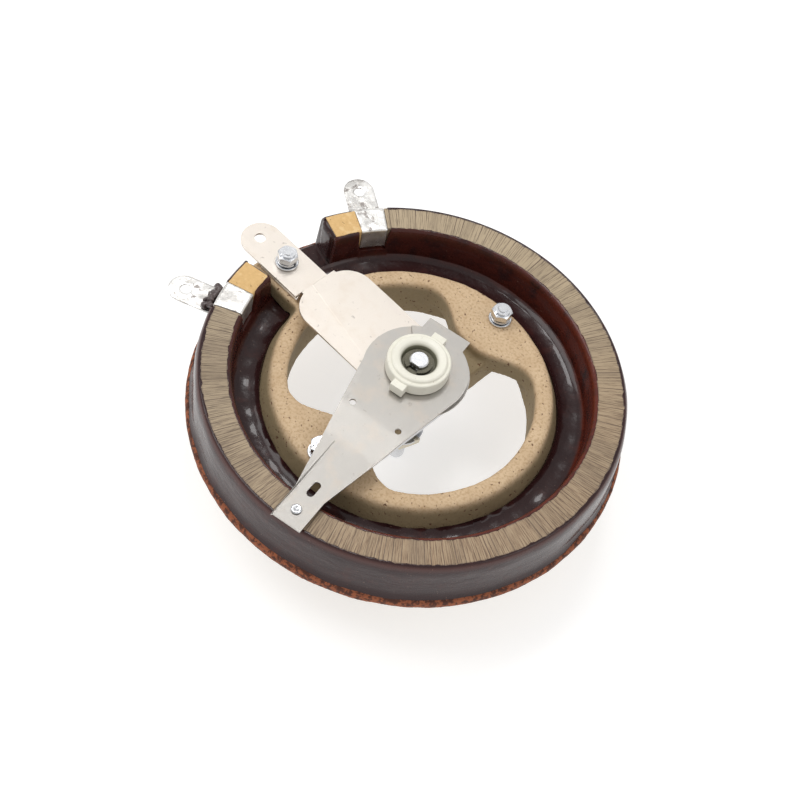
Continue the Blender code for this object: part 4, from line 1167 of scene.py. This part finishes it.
def split_ring(outer, inner, height, rise):
    """A spring washer: one turn of square wire that climbs a little, so its ends don't meet."""
    steps = 48
    stations = []
    for i in range(steps + 1):
        low = rise * i / steps
        high = low + height - rise
        wire = rounded(oblong(inner, outer, low, high), 0.15, 2)
        stations.append((8.0 + 344.0 * i / steps, wire))
    return swept(stations)


# %% Fasteners set at the three bolts


def bolt_tree():
    tree, given = make_tree("set_at_bolts", [("Part", "Object"), ("Loosest", "Float"), ("Seed", "Int"),
                                             ("Finish", "Material")])
    add = given["Geometry"].node
    spin = add("FunctionNodeRandomValue", {"data_type": "FLOAT"},
               {2: 0.0, 3: given["Loosest"], "Seed": given["Seed"]}, 1)
    turn = add("ShaderNodeCombineXYZ", {}, {2: spin})
    part = add("GeometryNodeObjectInfo", {}, {"Object": given["Part"]}, 4)
    points = add("GeometryNodeMeshToPoints", {}, {"Mesh": given["Geometry"]})
    parts = add("GeometryNodeInstanceOnPoints", {}, {"Points": points, "Instance": part, "Rotation": turn})
    end_tree(tree, parts, given["Finish"])
    return tree


bolts = bolt_tree()


def set_at_bolts(name, part_mesh, suffix, seed):
    """One part at each bolt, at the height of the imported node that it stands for."""
    nodes = [f"{label}_{suffix}" for label in BOLT_XY]
    marks = bpy.data.meshes.new("marks")
    marks.from_pydata([(*BOLT_XY[label], low_z(f"{label}_{suffix}")) for label in BOLT_XY], [], [])
    part = bpy.data.objects.new("part", part_mesh)
    scene_objects.link(part)
    made = grown(bolts, marks, Part=part, Loosest=1.9, Seed=seed, Finish=zinc_finish)
    bpy.data.objects.remove(part)
    add_piece(name, made, zinc_finish, "base", nodes, HEX_SHARP)


set_at_bolts("hex_nuts", nut_shape(NUT_HALF_FLATS, 2.45, 3.3), "hex_nut", 3)
set_at_bolts("plain_washers", washer_shape(5.0, 2.75, 1.0), "plain_washer", 5)
set_at_bolts("spring_washers", split_ring(4.3, 2.8, 1.2, 0.35), "spring_washer", 7)

# %% Bolts


def bolt_shape(label):
    """Hexagon head below, plain shank, and a threaded end that stands through the nut."""
    node = f"{label}_screw"
    low, top = low_z(node), top_z(node)
    head = placed(bevelled(prism(hex_outline(NUT_HALF_FLATS), low, low + 3.5), 0.25), turn=17.0)
    shank = rod(2.35, low + 1.0, top - 9.0, 32)
    bm = bmesh.new()
    for mesh in (head, shank, threaded(2.4, 0.8, top - 9.5, top)):
        bm.from_mesh(mesh)
    return placed(to_mesh(bm, "bolt"), *BOLT_XY[label])


for label in BOLT_XY:
    add_piece(f"{label}_bolt", bolt_shape(label), zinc_finish, "base", [f"{label}_screw"])

# %% [markdown]
# The bushing passes through a panel, so its lower half carries a fine M12 thread. The shaft is
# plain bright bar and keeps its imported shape.

# %% Bushing and its nut


def bushing_shape():
    top = top_z("panel_bushing")
    bore = rod(4.2, -30.0, top + 5.0, 48)
    low = low_z("panel_bushing")
    thread = threaded(6.0, 1.0, low, -0.4, 48, 6)
    collar = turned([(0.0, -0.5), (5.5, -0.5), (5.5, 2.8), (8.2, 2.8), (8.5, 3.1), (8.5, 5.4),
                     (8.2, 5.7), (6.7, 5.7), (6.7, top - 0.4), (6.3, top), (0.0, top)], 64)
    return cut(combined(thread, collar, "UNION"), bore)


add_piece("threaded_bushing", bushing_shape(), nickel_finish, "base", ["panel_bushing"])
nut_low = low_z("panel_nut")
add_piece("panel_hex_nut", placed(nut_shape(8.5, 6.1, 3.5), z=nut_low, turn=12.0), nickel_finish, "base",
          ["panel_nut"], HEX_SHARP)

# %% [markdown]
# The rivet that holds the contact shoe was set with a dimpling punch, so its head is a low ring
# with a hollow middle.

# %% Rivet


def rivet_shape():
    low, top = low_z("brush_rivet"), top_z("brush_rivet")
    return turned([(0.0, low), (1.2, low), (1.2, top - 0.75), (2.1, top - 0.75), (2.15, top - 0.4),
                   (1.85, top - 0.08), (1.5, top), (1.1, top - 0.1), (0.7, top - 0.45), (0.0, top - 0.5)], 40)


at = middle("brush_rivet")
add_piece("dimpled_rivet", placed(rivet_shape(), *at), zinc_finish, "rotor", ["brush_rivet"])
refinish(zinc_finish, "shaft", "bushing_clip", "panel_washer")
refinish(spring_steel_finish, "hub_washer", "hub_retaining_ring")
refinish(nickel_finish, "thrust_washer")
refinish(arm_finish, "contact_leaf", "backing_leaf")
refinish(alloy_finish, "contact_brush")

# %% [markdown]
# ## Floor, light and camera
# The object lies on a plain pale floor at the level of its shaft's end. The floor glows a little,
# like a light table, so that its shadows stay pale. One large soft light from above and behind
# draws the glints along the glaze, and a fill opens the shadows. A small one hangs where the
# sloping arm mirrors it toward the camera. A pale room gives the metals something to mirror.

# %% Floor

FLOOR = cad_box[0][2] - 0.0005
floor_mesh = bpy.data.meshes.new("floor")
floor_mesh.from_pydata([(-4.0, -4.0, FLOOR), (4.0, -4.0, FLOOR), (4.0, 4.0, FLOOR), (-4.0, 4.0, FLOOR)], [],
                       [(0, 1, 2, 3)])
floor = bpy.data.objects.new("floor", floor_mesh)
scene_objects.link(floor)
pale = bpy.data.materials.new("pale_floor")
pale.use_nodes = True
glow = pale.node_tree.nodes["Principled BSDF"].inputs
glow["Base Color"].default_value = (0.6, 0.6, 0.6, 1.0)
glow["Emission Color"].default_value = (1.0, 1.0, 1.0, 1.0)
glow["Emission Strength"].default_value = 0.55
glow["Roughness"].default_value = 0.9
glow["Specular IOR Level"].default_value = 0.1
floor_mesh.materials.append(pale)

# %% Camera

AZIMUTH, ELEVATION, ROLL = radians(-56.49), radians(55.8), radians(-14.68)
DISTANCE, OFF_X, OFF_Y = 0.6649, 0.00629, 0.01036
back = Vector((cos(ELEVATION) * cos(AZIMUTH), cos(ELEVATION) * sin(AZIMUTH), sin(ELEVATION)))
level = Vector((-sin(AZIMUTH), cos(AZIMUTH), 0.0))
upright = back.cross(level)
right = level * cos(ROLL) - upright * sin(ROLL)
up = level * sin(ROLL) + upright * cos(ROLL)
aim = Vector((0.0, 0.0, TRACK_Z * MM))
camera_data = bpy.data.cameras.new("camera")
camera_data.lens = 73.13
camera = bpy.data.objects.new("camera", camera_data)
camera.matrix_world = (Matrix.Translation(aim + back * DISTANCE - right * OFF_X - up * OFF_Y)
                       @ Matrix((right, up, back)).transposed().to_4x4())
scene_objects.link(camera)
bpy.context.scene.camera = camera

# %% Lights


def add_light(name, direction, distance, size, power):
    """A square soft light that looks at the object from a direction."""
    data = bpy.data.lights.new(name, "AREA")
    data.size = size
    data.energy = power
    light = bpy.data.objects.new(name, data)
    light.matrix_world = (Matrix.Translation(direction.normalized() * distance)
                          @ direction.to_track_quat("Z", "Y").to_matrix().to_4x4())
    scene_objects.link(light)


add_light("key", up * 0.75 - right * 0.45 + back * 0.75, 2.0, 1.1, 13.0)
add_light("fill", right * 0.9 + back * 0.6 + Vector((0.0, 0.0, 0.3)), 2.0, 1.0, 4.0)
arm_way = Vector((cos(radians(ARM_AT)), sin(radians(ARM_AT)), 0.0))
slope = (arm_way * sin(radians(6.5)) + Vector((0.0, 0.0, cos(radians(6.5))))).normalized()
add_light("band", 2.0 * slope.dot(back) * slope - back, 2.0, 0.4, 6.0)
world = bpy.data.worlds.new("pale_room")
world.use_nodes = True
sky = world.node_tree.nodes["Background"].inputs
sky["Color"].default_value = (1.0, 1.0, 1.0, 1.0)
sky["Strength"].default_value = 0.66
bpy.context.scene.world = world
bpy.context.scene.view_settings.view_transform = "Standard"
